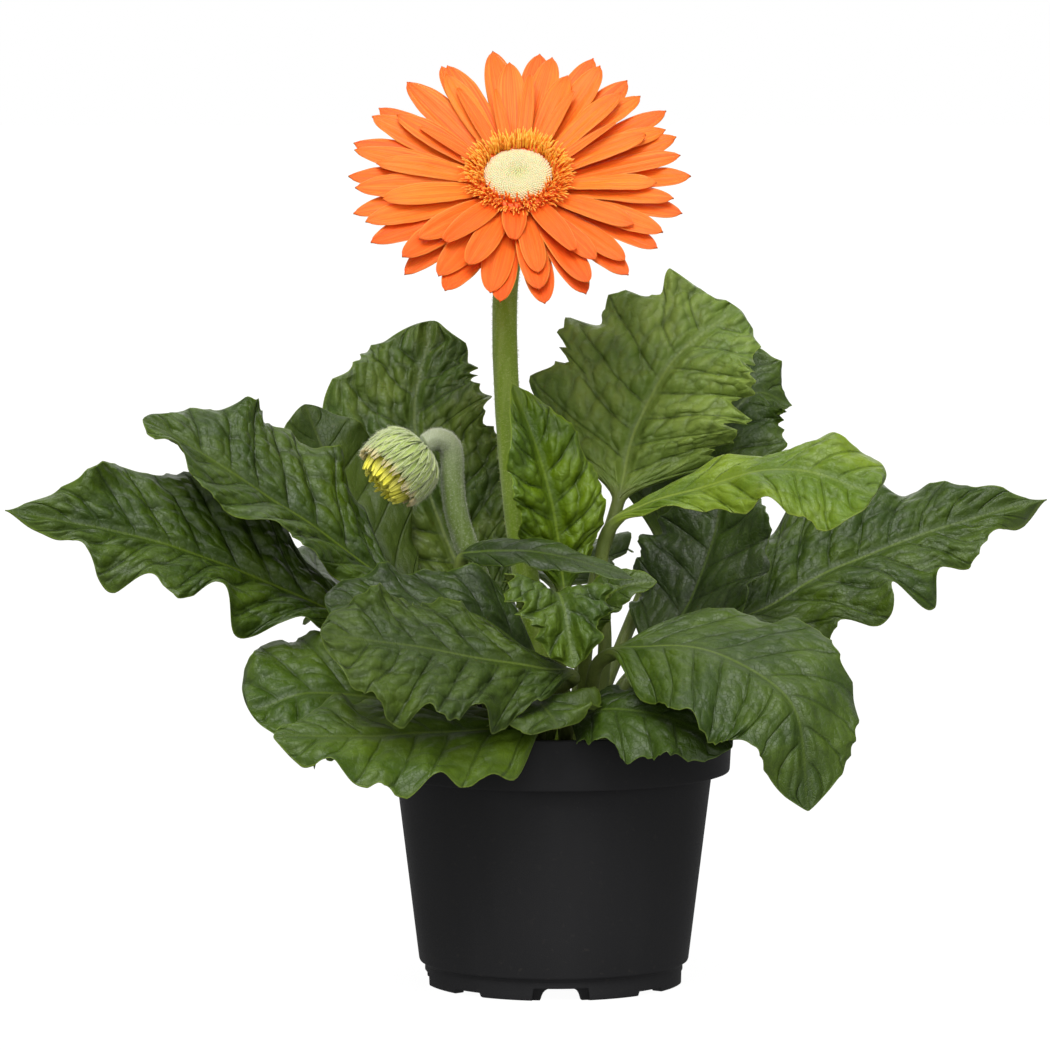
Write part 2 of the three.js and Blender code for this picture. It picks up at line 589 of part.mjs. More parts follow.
/** The green cup under the petals with two rows of narrow bracts. */
function involucre() {
  const { cupTop: top, cupBottom: bottom, cupRadius: wide, neckRadius: neck } = FLOWER;
  const cup = lathe([
    [0, bottom], [neck, bottom], [neck + 1.2, bottom + 1.5], [wide * 0.75, mix(bottom, top, 0.42)],
    [wide, mix(bottom, top, 0.8)], [wide, top], [0, top],
  ], 20);
  const upper = [[wide * 0.62, 0.25, 1.6], [wide * 1.05, 0.6, 1.9], [wide * 1.5, 0.86, 0.5]];
  const lower = [[neck + 1, 0.05, 1.3], [wide * 0.9, 0.3, 1.8], [wide * 1.25, 0.5, 0.5]];
  const rows = [{ count: 12, turn: 0, line: upper }, { count: 9, turn: 0.5, line: lower }];
  return mesh('involucre', bractCup(cup, bottom, top, rows, 0.3), material(0x55782f, 0.7));
}

// ---- Bud ----
/** The bud's green cup, covered by rows of overlapping bracts. */
function budInvolucre() {
  const { radius: wide, depth } = BUD;
  const neck = BUD_SCAPE.radius;
  const cup = lathe([
    [0, 0], [neck, 0], [wide * 0.78, depth * 0.25], [wide, depth * 0.6], [wide, depth], [0, depth],
  ], 20);
  const upper = [[wide * 0.9, 0.4, 2.4], [wide + 0.9, 0.75, 2.6], [wide + 1, 1.12, 0.8]];
  const lower = [[wide * 0.6, 0.12, 2], [wide + 0.9, 0.45, 2.6], [wide + 1.5, 0.82, 0.8]];
  const rows = [{ count: 10, turn: 0, line: upper }, { count: 9, turn: 0.5, line: lower }];
  return mesh('bud_involucre', bractCup(cup, 0, depth, rows, -0.3), material(0x9dba68, 0.75));
}

/** The young florets that show in the bud's mouth. */
function budFlorets() {
  const { outer, inner, length, radius, tip, root } = BUD.florets;
  const bottom = BUD.depth + GAP;
  const random = seeded(5);
  const parts = [lathe([
    [0, bottom], [radius, bottom], [radius, bottom + 1], [radius * 0.6, bottom + 2],
    [0, bottom + 2.2],
  ], 16)];
  const rings = [{ count: outer, r: radius - 1.3, lean: -8 }, { count: inner, r: radius / 2, lean: -16 }];
  rings.forEach(({ count, r, lean }) => {
    for (let i = 0; i < count; i += 1) {
      const needle = floret(length * (0.9 + 0.2 * random()), tip, root, lean);
      parts.push(needle.translate(r, 0, bottom + 0.3).rotateZ((i / count) * 2 * Math.PI));
    }
  });
  return mesh('bud_florets', fuse(parts), material(0xd9cf3a, 0.6));
}

// ---- The whole plant ----
const plant = new THREE.Group();
const leafLook = material(0x3d6424, 0.5);
Object.entries(LEAVES).forEach(([name, leaf]) => plant.add(mesh(name, leafGeometry(leaf), leafLook)));

const holeAt = ([x, y], radius) => [x, y, radius];
const holes = Object.values(LEAVES).map((leaf) => holeAt(rootOf(leaf), BLADE.stalkRadius));
holes.push(holeAt(SCAPE.path[0], SCAPE.radius), holeAt(BUD_SCAPE.path[0], BUD_SCAPE.radius));
plant.add(pot(), soil(holes));

const bloom = new THREE.Group();
bloom.position.fromArray(FLOWER.centre);
bloom.rotation.x = radians(FLOWER.tilt);
bloom.add(rayFlorets(), fringeFlorets(), discFlorets(), involucre());
const upFlower = new THREE.Vector3(0, 0, 1).applyEuler(bloom.rotation);
const headEnds = [FLOWER.cupBottom - 7, FLOWER.cupBottom - 2 * GAP]
  .map((below) => bloom.position.clone().addScaledVector(upFlower, below).toArray());
const scape = stem([...SCAPE.path, ...headEnds], (t) => SCAPE.radius - SCAPE.taper * t, SCAPE.steps);
plant.add(bloom, mesh('scape', scape, material(0x6e8a3c, 0.6)));

const bud = new THREE.Group();
const facing = vector(BUD.facing).normalize();
bud.position.fromArray(BUD.neck);
bud.quaternion.setFromUnitVectors(new THREE.Vector3(0, 0, 1), facing);
bud.add(budInvolucre(), budFlorets());
const underBud = vector(BUD.neck).addScaledVector(facing, -4 * GAP).toArray();
const budRadius = (t) => BUD_SCAPE.radius - BUD_SCAPE.taper * t ** 4;
const budScape = stem([...BUD_SCAPE.path, underBud], budRadius, BUD_SCAPE.steps);
plant.add(bud, mesh('bud_scape', budScape, material(0x7f9a50, 0.7)));

const middle = new THREE.Box3().setFromObject(plant, true).getCenter(new THREE.Vector3());
plant.position.set(-middle.x, -middle.y, 0);

const group = new THREE.Group();
group.add(plant);
export default group;
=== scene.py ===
# %% [markdown]
# # A potted gerbera
# A gerbera in a 12 cm grower's pot: one open orange flower, one nodding bud and a rosette of
# quilted leaves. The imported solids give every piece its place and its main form. This lesson
# dresses them: each piece is worked out again as a fine surface, with veins, grooves, hairs
# and florets, and gets a finish made of nodes.

# %% Load the solids that carry the looks
import json
import math
from types import SimpleNamespace as Sizes
import bmesh
import bpy
import numpy as np
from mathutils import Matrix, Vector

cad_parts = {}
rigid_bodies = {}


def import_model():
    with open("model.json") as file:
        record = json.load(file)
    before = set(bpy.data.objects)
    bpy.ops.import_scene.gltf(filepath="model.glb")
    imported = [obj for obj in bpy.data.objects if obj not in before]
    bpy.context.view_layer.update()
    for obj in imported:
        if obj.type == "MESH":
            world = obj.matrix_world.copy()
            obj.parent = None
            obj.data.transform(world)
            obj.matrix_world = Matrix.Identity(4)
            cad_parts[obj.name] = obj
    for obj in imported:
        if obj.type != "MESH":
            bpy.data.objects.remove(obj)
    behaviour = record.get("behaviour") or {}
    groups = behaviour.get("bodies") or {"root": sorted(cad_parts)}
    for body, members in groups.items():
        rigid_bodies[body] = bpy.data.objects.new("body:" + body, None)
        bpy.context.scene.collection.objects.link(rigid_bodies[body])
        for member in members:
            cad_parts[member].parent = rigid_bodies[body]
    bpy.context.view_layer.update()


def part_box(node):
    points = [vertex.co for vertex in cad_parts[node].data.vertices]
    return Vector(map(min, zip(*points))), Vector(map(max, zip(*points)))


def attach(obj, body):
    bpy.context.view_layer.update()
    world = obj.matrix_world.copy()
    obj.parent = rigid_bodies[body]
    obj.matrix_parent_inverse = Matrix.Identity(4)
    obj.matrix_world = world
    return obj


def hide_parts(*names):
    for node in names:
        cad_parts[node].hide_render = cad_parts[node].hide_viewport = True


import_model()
low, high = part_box("pot")
AXIS = np.array([(low[0] + high[0]) / 2, (low[1] + high[1]) / 2, 0]) * 1000

# %% [markdown]
# ## Tools for surfaces
# Every living piece here is a skin over rings: a leaf, a petal and a stem are each a row of
# closed rings carried along a line. They could be sculpted by hand, but worked out as whole
# arrays they keep to the solids exactly and are quick to change. Lengths are plant
# millimetres measured from the pot's axis, and become metres only when the mesh is made.

# %% Skins over rings of points
def skins(rings):
    """rings[k, i, j] is corner j of ring i of tube k. Neighbouring rings are joined by
    four-sided faces, and each end is closed by a fan round its own middle point."""
    count, n, m, _ = rings.shape
    ends = rings[:, [0, -1]].mean(axis=2)
    points = np.concatenate([rings.reshape(count, n * m, 3), ends], axis=1)
    i, j = np.meshgrid(np.arange(n - 1), np.arange(m), indexing="ij")
    a, b = i * m + j, i * m + (j + 1) % m
    quads = np.stack([a, b, b + m, a + m], -1).reshape(-1, 4)
    j = np.arange(m)
    after, last = (j + 1) % m, (n - 1) * m
    fans = np.vstack([np.stack([np.full(m, n * m), after, j], -1),
                      np.stack([np.full(m, n * m + 1), last + j, last + after], -1)])
    start = (np.arange(count) * (n * m + 2))[:, None, None]
    return points.reshape(-1, 3), (quads + start).reshape(-1, 4), (fans + start).reshape(-1, 3)


def spread(values, rings):
    """One number for each ring corner, with the mean of each end ring for its middle point."""
    count, n, m, _ = rings.shape
    values = np.broadcast_to(values, (count, n, m)).astype(float)
    ends = values[:, [0, -1]].mean(axis=2)
    return np.concatenate([values.reshape(count, n * m), ends], axis=1).ravel()


def shell(rings, facts=(), place=lambda points: points):
    """One part of a piece: the skin of its rings, moved to its place, and its facts, which
    are named numbers that the finish reads."""
    points, quads, triangles = skins(rings)
    return place(points), quads, triangles, {key: spread(facts[key], rings) for key in facts}


# %% From arrays to a finished object
def stand(name, data):
    """An object that holds the data and stands in the scene."""
    body = bpy.data.objects.new(name, data)
    bpy.context.scene.collection.objects.link(body)
    return body


def piece(name, parts, look, slot, *nodes):
    """Puts one or more (points, quads, triangles, facts) parts into one mesh, which rides on
    the root body, stands for the named solids and has one material."""
    starts = np.cumsum([0] + [len(part[0]) for part in parts])
    points = np.concatenate([part[0] for part in parts])
    quads, triangles = (np.concatenate([part[k] + start for part, start in zip(parts, starts)])
                        for k in (1, 2))
    mesh = bpy.data.meshes.new(name)
    mesh.vertices.add(len(points))
    mesh.vertices.foreach_set("co", ((points + AXIS) * 0.001).astype(np.float32).ravel())
    corners = np.concatenate([quads.ravel(), triangles.ravel()]).astype(np.int32)
    mesh.loops.add(len(corners))
    mesh.loops.foreach_set("vertex_index", corners)
    mesh.polygons.add(len(quads) + len(triangles))
    mesh.polygons.foreach_set("loop_start", np.concatenate(
        [np.arange(len(quads)) * 4, quads.size + np.arange(len(triangles)) * 3]).astype(np.int32))
    mesh.update(calc_edges=True)
    mesh.shade_smooth()
    for key in sorted({key for part in parts for key in part[3]}):
        values = [part[3].get(key, np.zeros(len(part[0]))) for part in parts]
        mesh.attributes.new(key, "FLOAT", "POINT").data.foreach_set(
            "value", np.concatenate(values).astype(np.float32))
    mesh.materials.append(look)
    body = stand(name, mesh)
    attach(body, "root")
    if nodes:
        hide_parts(*nodes)
    fan = np.vstack([triangles, quads[:, :3], quads[:, [0, 2, 3]]])
    a, b, c = points[fan.T]
    volume = np.einsum("ij,ij->", a, np.cross(b, c)) / 6000
    print(f"{name}: {len(fan)} triangles, {volume:.2f} cm3")
    return body


# %% Rings round an axis
TURN = 2 * math.pi


def around(count):
    """The directions of a number of corners, evenly round a ring."""
    return np.arange(count) * (TURN / count)


def polar(r, turn, z):
    """Points at distance r from the axis, in direction turn and at height z."""
    return np.stack(np.broadcast_arrays(r * np.cos(turn), r * np.sin(turn), z), -1)


def lathe(line, count):
    """One tube: an outline of (distance, height) points swept round the axis."""
    line = np.array(line, float)
    return polar(line[:, :1], around(count), line[:, 1:])[None]


def spun(x, y, z, turn):
    """Points turned about the axis: x cos less y sin, x sin plus y cos, and z."""
    cos, sin = np.cos(turn), np.sin(turn)
    return np.stack([x * cos - y * sin, x * sin + y * cos, z], -1)


# %% Lines, noise and steps
def unit(vectors):
    return vectors / np.linalg.norm(vectors, axis=-1, keepdims=True)


def mix(a, b, share):
    return a + (b - a) * share


def step(x, start, end):
    """0 below start, 1 above end, and 3t squared less 2t cubed between them."""
    t = np.clip((x - start) / (end - start), 0, 1)
    return t * t * (3 - 2 * t)


def smooth_path(points, t):
    """Place and direction at t (0 to 1) on a smooth line through the points. Between two
    neighbours it is a cubic whose slope at a point is half the step between the points on
    either side, with the end points mirrored outwards."""
    p = np.asarray(points, float)
    p = np.vstack([2 * p[0] - p[1], p, 2 * p[-1] - p[-2]])
    s = np.asarray(t) * (len(p) - 3)
    i = np.clip(np.floor(s).astype(int), 0, len(p) - 4)
    w = (s - i)[..., None]
    a, b, c, d = p[i], p[i + 1], p[i + 2], p[i + 3]
    square, cube = 2 * a - 5 * b + 4 * c - d, 3 * b - a - 3 * c + d
    place = b + 0.5 * w * (c - a + w * (square + w * cube))
    return place, unit(0.5 * (c - a) + w * square + 1.5 * w * w * cube)


def ripple(x, y, size, seed):
    """Smooth random height, -1 to 1: random numbers at the corners of squares of the given
    size, blended across each square."""
    table = np.random.default_rng(seed).uniform(-1, 1, (64, 64))
    i, j = np.floor(x / size).astype(int), np.floor(y / size).astype(int)
    u, v = step(x / size - i, 0, 1), step(y / size - j, 0, 1)
    at = lambda a, b: table[a % 64, b % 64]
    return mix(mix(at(i, j), at(i + 1, j), u), mix(at(i, j + 1), at(i + 1, j + 1), u), v)


def hairs(places, directions, length, radius, sunk=0.15):
    """Slim three-sided spikes: a triangle sunk in the skin and one point at the hair's tip."""
    directions = unit(directions)
    side = unit(np.cross(directions, [0.31, 0.52, 0.79]))
    other = np.cross(directions, side)
    angle = around(3)[:, None]
    root = side[:, None] * np.cos(angle) + other[:, None] * np.sin(angle)
    root = places[:, None] + root * radius - directions[:, None] * sunk
    tip = (places + directions * length[:, None])[:, None]
    points = np.concatenate([root, tip], axis=1).reshape(-1, 3)
    faces = np.array([[0, 1, 3], [1, 2, 3], [2, 0, 3], [2, 1, 0]])
    faces = (np.arange(len(places)) * 4)[:, None, None] + faces
    return points, np.zeros((0, 4), int), faces.reshape(-1, 3), {"hair": np.ones(len(points))}


# %% [markdown]
# ## Tools for finishes
# A finish is a small graph of nodes. Written node by node it is long and hard to follow, so a
# thin wrapper lets the sums be typed as sums. Whatever changes over a surface goes only to
# colour, roughness and bump; a number that is the same everywhere sits on the shader itself.

# %% Sums of sockets
def paint(red, green, blue, depth=1.0):
    """A colour given as screen values from 0 to 255, turned into linear light times depth."""
    screen = np.array([red, green, blue]) / 255
    linear = np.where(screen <= 0.04045, screen / 12.92, ((screen + 0.055) / 1.055) ** 2.4)
    return (*(depth * linear).tolist(), 1.0)


class Wire:
    """A socket that can be added to, multiplied and divided; each sum adds a Math node."""

    def __init__(self, look, socket):
        self.look, self.socket = look, socket

    def math(self, operation, *others):
        inputs = dict(enumerate([self, *others]))
        return self.look.node("ShaderNodeMath", dict(operation=operation), inputs)

    __add__ = __radd__ = lambda self, other: self.math("ADD", other)
    __mul__ = __rmul__ = lambda self, other: self.math("MULTIPLY", other)
    __sub__ = lambda self, other: self.math("SUBTRACT", other)
    __rsub__ = lambda self, other: (self * -1) + other
    __truediv__ = lambda self, other: self.math("DIVIDE", other)
    __pow__ = lambda self, other: self.math("POWER", other)
    __abs__ = lambda self: self.math("ABSOLUTE")

    def at_most(self, limit):
        return self.math("MINIMUM", limit)

    def line(self, width):
        """1 on whole numbers, 0 further than width from them: a thin line per whole number."""
        gap = abs(self.math("FRACT") - 0.5)
        return ((gap - (0.5 - width)) / width).math("MAXIMUM", 0.0)

    def step(self, start, end):
        return self.look.node("ShaderNodeMapRange", dict(interpolation_type="SMOOTHSTEP"),
                              {0: self, 1: float(start), 2: float(end)})


# %% A material that grows by nodes
class Look:
    """A material whose nodes are added by one method."""

    def __init__(self, name, **sockets):
        self.material = bpy.data.materials.new(name)
        self.material.use_nodes = True
        self.tree = self.material.node_tree
        self.shader = self.tree.nodes["Principled BSDF"]
        self.set(self.shader, {key.replace("_", " "): value for key, value in sockets.items()})

    def set(self, node, inputs):
        for key, value in inputs.items():
            if isinstance(value, Wire):
                self.tree.links.new(value.socket, node.inputs[key])
            else:
                node.inputs[key].default_value = value

    def node(self, kind, settings=(), inputs=(), output=0):
        """A node of a kind, with its settings made first and then its sockets."""
        node = self.tree.nodes.new(kind)
        for key, value in dict(settings).items():
            setattr(node, key, value)
        self.set(node, dict(inputs))
        return Wire(self, node.outputs[output])

    def read(self, *names):
        """The numbers that the mesh holds under these names at each corner."""
        return [self.node("ShaderNodeAttribute", dict(attribute_name=name), output="Fac")
                for name in names]

    def place(self, stretch=(1, 1, 1)):
        """Object coordinates, in metres, stretched."""
        where = self.node("ShaderNodeTexCoord", output="Object")
        return self.node("ShaderNodeMapping", inputs={"Vector": where, "Scale": stretch})

    def noise(self, per_metre, detail=3.0, stretch=(1, 1, 1)):
        return self.noise_at(self.place(stretch), detail, per_metre)

    def noise_at(self, place, detail, scale=1.0):
        return self.node("ShaderNodeTexNoise", inputs={
            "Vector": place, "Scale": float(scale), "Detail": detail})

    def cells(self, per_metre, feature="F1"):
        return self.node("ShaderNodeTexVoronoi", dict(feature=feature), {
            "Vector": self.place(), "Scale": float(per_metre)})

    def joined(self, x, y, z=0.0):
        """One place made of three numbers."""
        return self.node("ShaderNodeCombineXYZ", inputs={0: x, 1: y, 2: z})

    def blend(self, share, first, second):
        """Mixes two colours, sockets or screen values: share 0 gives the first, 1 the second."""
        first, second = (x if isinstance(x, Wire) else paint(*x) for x in (first, second))
        return self.node("ShaderNodeMix", dict(data_type="RGBA"), {
            "Factor": share, 6: first, 7: second}, output=2)

    def coats(self, colour, *coats):
        """Lays coats over a colour, one by one; each is a share and a colour."""
        for share, over in coats:
            colour = self.blend(share, colour, over)
        return colour

    def finish(self, colour, roughness, height, distance):
        """Wires colour, roughness and a bump whose height 1 stands distance metres proud."""
        bump = self.node("ShaderNodeBump", inputs={
            "Strength": 1.0, "Distance": distance, "Height": height})
        self.set(self.shader, {"Base Color": colour, "Roughness": roughness, "Normal": bump})
        return self.material


# %% [markdown]
# ## Camera, floor and light
# A long lens from almost two metres keeps the plant's proportions. The light is a studio's: a
# strong soft lamp high on the left, a low one by the camera that gives the pot its broad
# highlight, and a weak one behind, so that the back isn't black. The sky fills the shadows.
# The floor is pale paper that the plant's own rays don't see, so it sends no light back up
# under the leaves.

# %% Camera
CAMERA_SPOT = np.array([-9.7, -1850, 305])  # from the pot's axis, in mm
PITCH = math.radians(4.668)
SENSOR = 36
FRAME_WIDTH, FOCUS = 1050, 5541  # in pixels
eye = bpy.data.cameras.new("camera")
eye.lens, eye.sensor_width, eye.clip_end = SENSOR * FOCUS / FRAME_WIDTH, SENSOR, 100
camera = stand("camera", eye)
camera.location = (AXIS + CAMERA_SPOT) / 1000
camera.rotation_euler = (math.pi / 2 - PITCH, 0, 0)
bpy.context.scene.camera = camera
bpy.context.scene.view_settings.view_transform = "Standard"
print("camera at", tuple(round(x, 3) for x in camera.location), "lens", round(eye.lens, 1))

# %% Far, wide lamps
# Azimuth, height and width are in degrees, and azimuth 0 is the camera's side.
LAMPS = [dict(name="key", azimuth=-14, height=60, strength=2.8, width=44),
         dict(name="front", azimuth=4, height=20, strength=0.9, width=50),
         dict(name="back", azimuth=172, height=34, strength=0.9, width=60)]


def broad_lamp(name, azimuth, height, strength, width):
    lamp = bpy.data.lights.new(name, "SUN")
    lamp.energy, lamp.angle = strength, math.radians(width)
    stand(name, lamp).rotation_euler = (math.radians(90 - height), 0, math.radians(azimuth))


for lamp in LAMPS:
    broad_lamp(**lamp)
print("lamps:", len(LAMPS))

# %% Sky
SKY_LIGHT, SKY_SEEN = 0.45, 1.0
world = bpy.data.worlds.new("studio")
bpy.context.scene.world = world
world.use_nodes = True
sky = world.node_tree.nodes["Background"]
sky.inputs["Color"].default_value = (1, 1, 1, 1)
path = world.node_tree.nodes.new("ShaderNodeLightPath")
level = world.node_tree.nodes.new("ShaderNodeMapRange")
level.inputs["To Min"].default_value = SKY_LIGHT
level.inputs["To Max"].default_value = SKY_SEEN
world.node_tree.links.new(path.outputs["Is Camera Ray"], level.inputs["Value"])
world.node_tree.links.new(level.outputs["Result"], sky.inputs["Strength"])

# %% Floor
FLOOR_RADIUS, FLOOR_CORNERS = 30, 96
floor_mesh = bpy.data.meshes.new("floor")
floor_mesh.from_pydata(polar(FLOOR_RADIUS, around(FLOOR_CORNERS), 0).tolist(), [],
                       [list(range(FLOOR_CORNERS))])
floor = stand("floor", floor_mesh)
paper = Look("floor_paper", Specular_IOR_Level=0.0, Emission_Color=(1, 1, 1, 1),
             Emission_Strength=0.97)
grain = paper.noise(900, 2.0)
floor_mesh.materials.append(
    paper.finish(paper.blend(grain, (72, 72, 71), (76, 76, 75)), 0.8, grain, 0.0001))
floor.visible_diffuse = floor.visible_glossy = False

# %% [markdown]
# ## The pot
# A grower's pot is one thin moulding: a wide band under the rim, a tapered wall and a stepped
# foot with notches that let water out. A lathe of its outline makes all of that. The foot's
# lower edge rises where a notch is, so the notches are part of the same surface, and six
# drain holes are cut through the base afterwards.

# %% Sizes of the pot, as the solid has them
# A stalk starts at ROOT_TOP, and its two buried rings hold it in the soil.
POT = Sizes(rim=60, rim_top=88.5, rim_bottom=71.5, taper=0.9, lip=2.2, wall=1.5,
            body_top=53.2, body_bottom=45.3, foot_top=7, foot=43.4, foot_width=4, foot_lip=1.6,
            base_bottom=4.6, base_top=6.2, middle=0.4, corner=0.7)
NOTCHES = (Sizes(width=19, height=4, turn=-87, window=(7, 14)),
           Sizes(width=12, height=1.4, turn=-42, window=(10, 12)))
DRAIN = Sizes(count=6, far=27, radius=4, bottom=2.0, top=8.0)
ROOT_TOP, BURIED = 80.5, (69, 75)


def rounded(line, radius, count=3):
    """The outline with each corner replaced by an arc-like run of points: corner + radius
    along both sides, joined by a curve that is pulled towards the corner."""
    line = np.asarray(line, float)
    result = [line[:1]]
    share = np.linspace(0, 1, count)[:, None]
    for before, corner, after in zip(line[:-2], line[1:-1], line[2:]):
        sides = before - corner, after - corner
        reach = min(radius, *(0.4 * np.linalg.norm(side) for side in sides))
        a, b = (corner + unit(side) * reach for side in sides)
        result.append((1 - share) ** 2 * a + 2 * share * (1 - share) * corner + share ** 2 * b)
    return np.vstack([*result, line[-1:]])


# %% The pot's lathe
def notch_edges(turn, inner):
    """Height of the foot's lower edge round the pot. The outer edge is a rectangle; the inner
    one is a window whose sides curve in from the wide bottom to the narrow top."""
    edge, quarter = np.zeros_like(turn), TURN / 4
    for notch in NOTCHES:
        off = (turn - math.radians(notch.turn) + quarter / 2) % quarter - quarter / 2
        across = np.abs(off) * POT.foot
        if inner:
            top, bottom = notch.window
            rise = np.clip((bottom / 2 - across) / (bottom / 2 - top / 2), 0, 1)
            form = np.sqrt(1 - (1 - rise) ** 2) * (rise > 0)
        else:
            form = step(-across, -notch.width / 2, -notch.width / 2 + 0.3)
        edge = np.maximum(edge, notch.height * form)
    return edge


def pot_rings():
    """Outline points (radius, height) swept round the axis; above a notch the foot's points
    are squeezed into what the notch leaves of its height."""
    p, band, inside = POT, POT.rim - POT.taper, POT.foot - POT.foot_width
    outer = rounded([
        (inside, 0), (p.foot - p.foot_lip, 0), (p.foot, 0), (p.foot, p.foot_top),
        (p.body_bottom, p.foot_top + 0.4), (p.body_top, p.rim_bottom), (band, p.rim_bottom),
        (p.rim, p.rim_top), (p.rim - p.lip, p.rim_top), (band - p.wall, p.rim_bottom + p.wall),
        (p.body_top - p.wall, p.rim_bottom), (p.body_bottom - p.wall, p.base_top),
        (p.middle, p.base_top)], p.corner)
    walls = np.linspace(outer[:-1], outer[1:], 5)[:-1].transpose(1, 0, 2)
    long = np.linalg.norm(np.diff(outer, axis=0), axis=1) > 5
    below = [(r, p.base_bottom) for r in (p.middle, 20, inside)]
    line = np.vstack([below, *(wall if far else wall[:1] for wall, far in zip(walls, long)),
                      outer[-1:]])
    turn = around(432)
    shape = np.broadcast_to(line[:, None], (len(line), len(turn), 2)).copy()
    for i in range(len(below), np.argmax(line[:, 0] > p.foot + 0.01)):
        edge = notch_edges(turn, line[i, 0] < p.foot - 1.2)
        shape[i, :, 1] = mix(edge, p.foot_top, line[i, 1] / p.foot_top)
    return polar(shape[..., 0], turn, shape[..., 1])[None]


# %% The pot's finish
def pot_look():
    """Black moulded plastic: fine grain, faint streaks down the wall, dust low down."""
    look = Look("pot_plastic", Specular_IOR_Level=0.02)
    grain = look.noise(2600, 2.0)
    streak = look.noise(60, 4.0, (1, 1, 0.12))
    dust = look.noise(420, 6.0).step(0.6, 0.78)
    speck = look.cells(700).math("LESS_THAN", 0.09) * look.noise(50, 2.0).step(0.5, 0.65)
    height = look.node("ShaderNodeSeparateXYZ", inputs={0: look.place()}, output="Z")
    low_down = height.step(0.03, 0.0)
    colour = look.blend(streak, (39, 39, 40), (46, 46, 47))
    colour = look.blend(dust * 0.05 + speck * 0.12 + low_down * dust * 0.1, colour, (100, 92, 82))
    return look.finish(colour, 0.42 + 0.12 * streak + 0.2 * dust, grain, 0.00006)


# %% Cast and drill the pot
pot = piece("pot_fine", [shell(pot_rings())], pot_look(), "pot_plastic", "pot")
bore = lathe([(DRAIN.radius, DRAIN.bottom), (DRAIN.radius, DRAIN.top)], 24)
drills = [shell(bore + polar(DRAIN.far, turn, 0))
          for turn in (np.arange(DRAIN.count) + 0.5) / DRAIN.count * TURN]
cutter = piece("drill", drills, pot.data.materials[0], "pot_plastic")
cut = pot.modifiers.new("drain_holes", "BOOLEAN")
cut.operation, cut.object, cut.solver = "DIFFERENCE", cutter, "EXACT"
whole = pot.evaluated_get(bpy.context.evaluated_depsgraph_get())
holed = bpy.data.meshes.new_from_object(whole)
pot.modifiers.clear()
pot.data = holed

# %% Weld what the drill left
WELD = 2e-6  # metres
weld = bmesh.new()
weld.from_mesh(holed)
bmesh.ops.remove_doubles(weld, verts=weld.verts, dist=WELD)
bmesh.ops.dissolve_degenerate(weld, edges=weld.edges, dist=WELD)
weld.to_mesh(holed)
weld.free()
bpy.data.objects.remove(cutter)
print("pot after drilling:", len(pot.data.polygons), "faces")

# %% [markdown]
# ## Soil
# Potting soil is dark, fibrous and crumbly. A bumpy disc alone looks like a lid, so small
# crumbs lie over it. Each crumb is a squashed ball of a few faces, which is enough at that
# size.

# %% Root ball and crumbs
SOIL = Sizes(radius=57, edge=50, top=79, dome=1.2, fall=0.8, crumbs_to=56, crumbs_lift=0.6)


def soil_height(far):
    """A low dome that falls off near the pot's wall."""
    return SOIL.top + SOIL.dome * (1 - (far / SOIL.radius) ** 2) - SOIL.fall * step(
        far, SOIL.edge, SOIL.radius)


def soil_rings():
    """Rings from the base of the ball up its side and over the top to the middle; the top is
    the dome with three sizes of ripple."""
    side = [(10, 6.6), (43.2, 6.6), (51.2, 71.9), (57.1, 73.7), (57.1, 76.9)]
    line = np.array(side + [(r, 0) for r in np.linspace(56.8, 0.6, 44)])
    turn, r = around(180), line[:, :1]
    x, y = r * np.cos(turn), r * np.sin(turn)
    bumps = 0.8 * ripple(x, y, 6, 3) + 0.5 * ripple(x, y, 2.4, 4) + 0.25 * ripple(x, y, 1.2, 6)
    on_side = np.arange(len(line))[:, None] < len(side)
    return polar(r, turn, np.where(on_side, line[:, 1:], soil_height(r) + bumps - 0.3))[None]


def crumbs(count, seed):
    """Small squashed balls of three rings: each ring is a circle whose radius and height are
    shaken, laid on the soil at random."""
    rng = np.random.default_rng(seed)
    size = rng.uniform(0.45, 1.5, count) ** 1.5
    turn, each = around(6), (count, 1, 1)
    line = np.array([(0.75, -0.5), (1.0, 0.1), (0.6, 0.65)])[:, :, None]
    r = line[:, 0] * rng.uniform(0.75, 1.2, (count, 3, 6))
    x, y = r * np.cos(turn), r * np.sin(turn) * rng.uniform(0.6, 1.3, each)
    z = line[:, 1] * np.ones((count, 3, 6))
    rings = spun(x, y, z, rng.uniform(0, TURN, each)) * size[:, None, None, None]
    far = SOIL.crumbs_to * np.sqrt(rng.uniform(0.0, 1, count))
    spot = polar(far, rng.uniform(0, TURN, count), soil_height(far) + SOIL.crumbs_lift)
    return shell(rings + spot[:, None, None], {"tone": rng.uniform(0, 1, count)[:, None, None]})


# %% The soil
def soil_look():
    """Dark peat: brown and near-black grains with a few pale fibres."""
    look = Look("potting_soil")
    grain, clump = look.noise(900, 5.0), look.noise(160)
    fibre = look.noise(300, 2.0, (6, 1, 1)).step(0.66, 0.72)
    tone, = look.read("tone")
    colour = look.coats(
        look.blend(grain, (24, 17, 12), (72, 50, 36)),
        (clump.step(0.4, 0.7) * 0.6, (38, 26, 19)),
        (tone.step(0.75, 1.0) * 0.7, (104, 78, 56)),
        (fibre * 0.6, (120, 96, 70)))
    return look.finish(colour, 0.95, grain, 0.0006)


piece("soil_fine", [shell(soil_rings()), crumbs(count=900, seed=8)], soil_look(),
      "potting_soil", "soil")

# %% [markdown]
# ## Leaves
# A gerbera leaf is one grown piece: a hairy stalk that flattens into a long blade with lobes
# and small teeth. Side veins leave the midrib alternately, cross veins join them, and the
# blade bulges up between the veins like a quilt. The quilting could be a bump map, but on
# these leaves it changes the outline and catches the light from the side, so it is in the
# mesh, and only the finest net of veins is left to the finish.

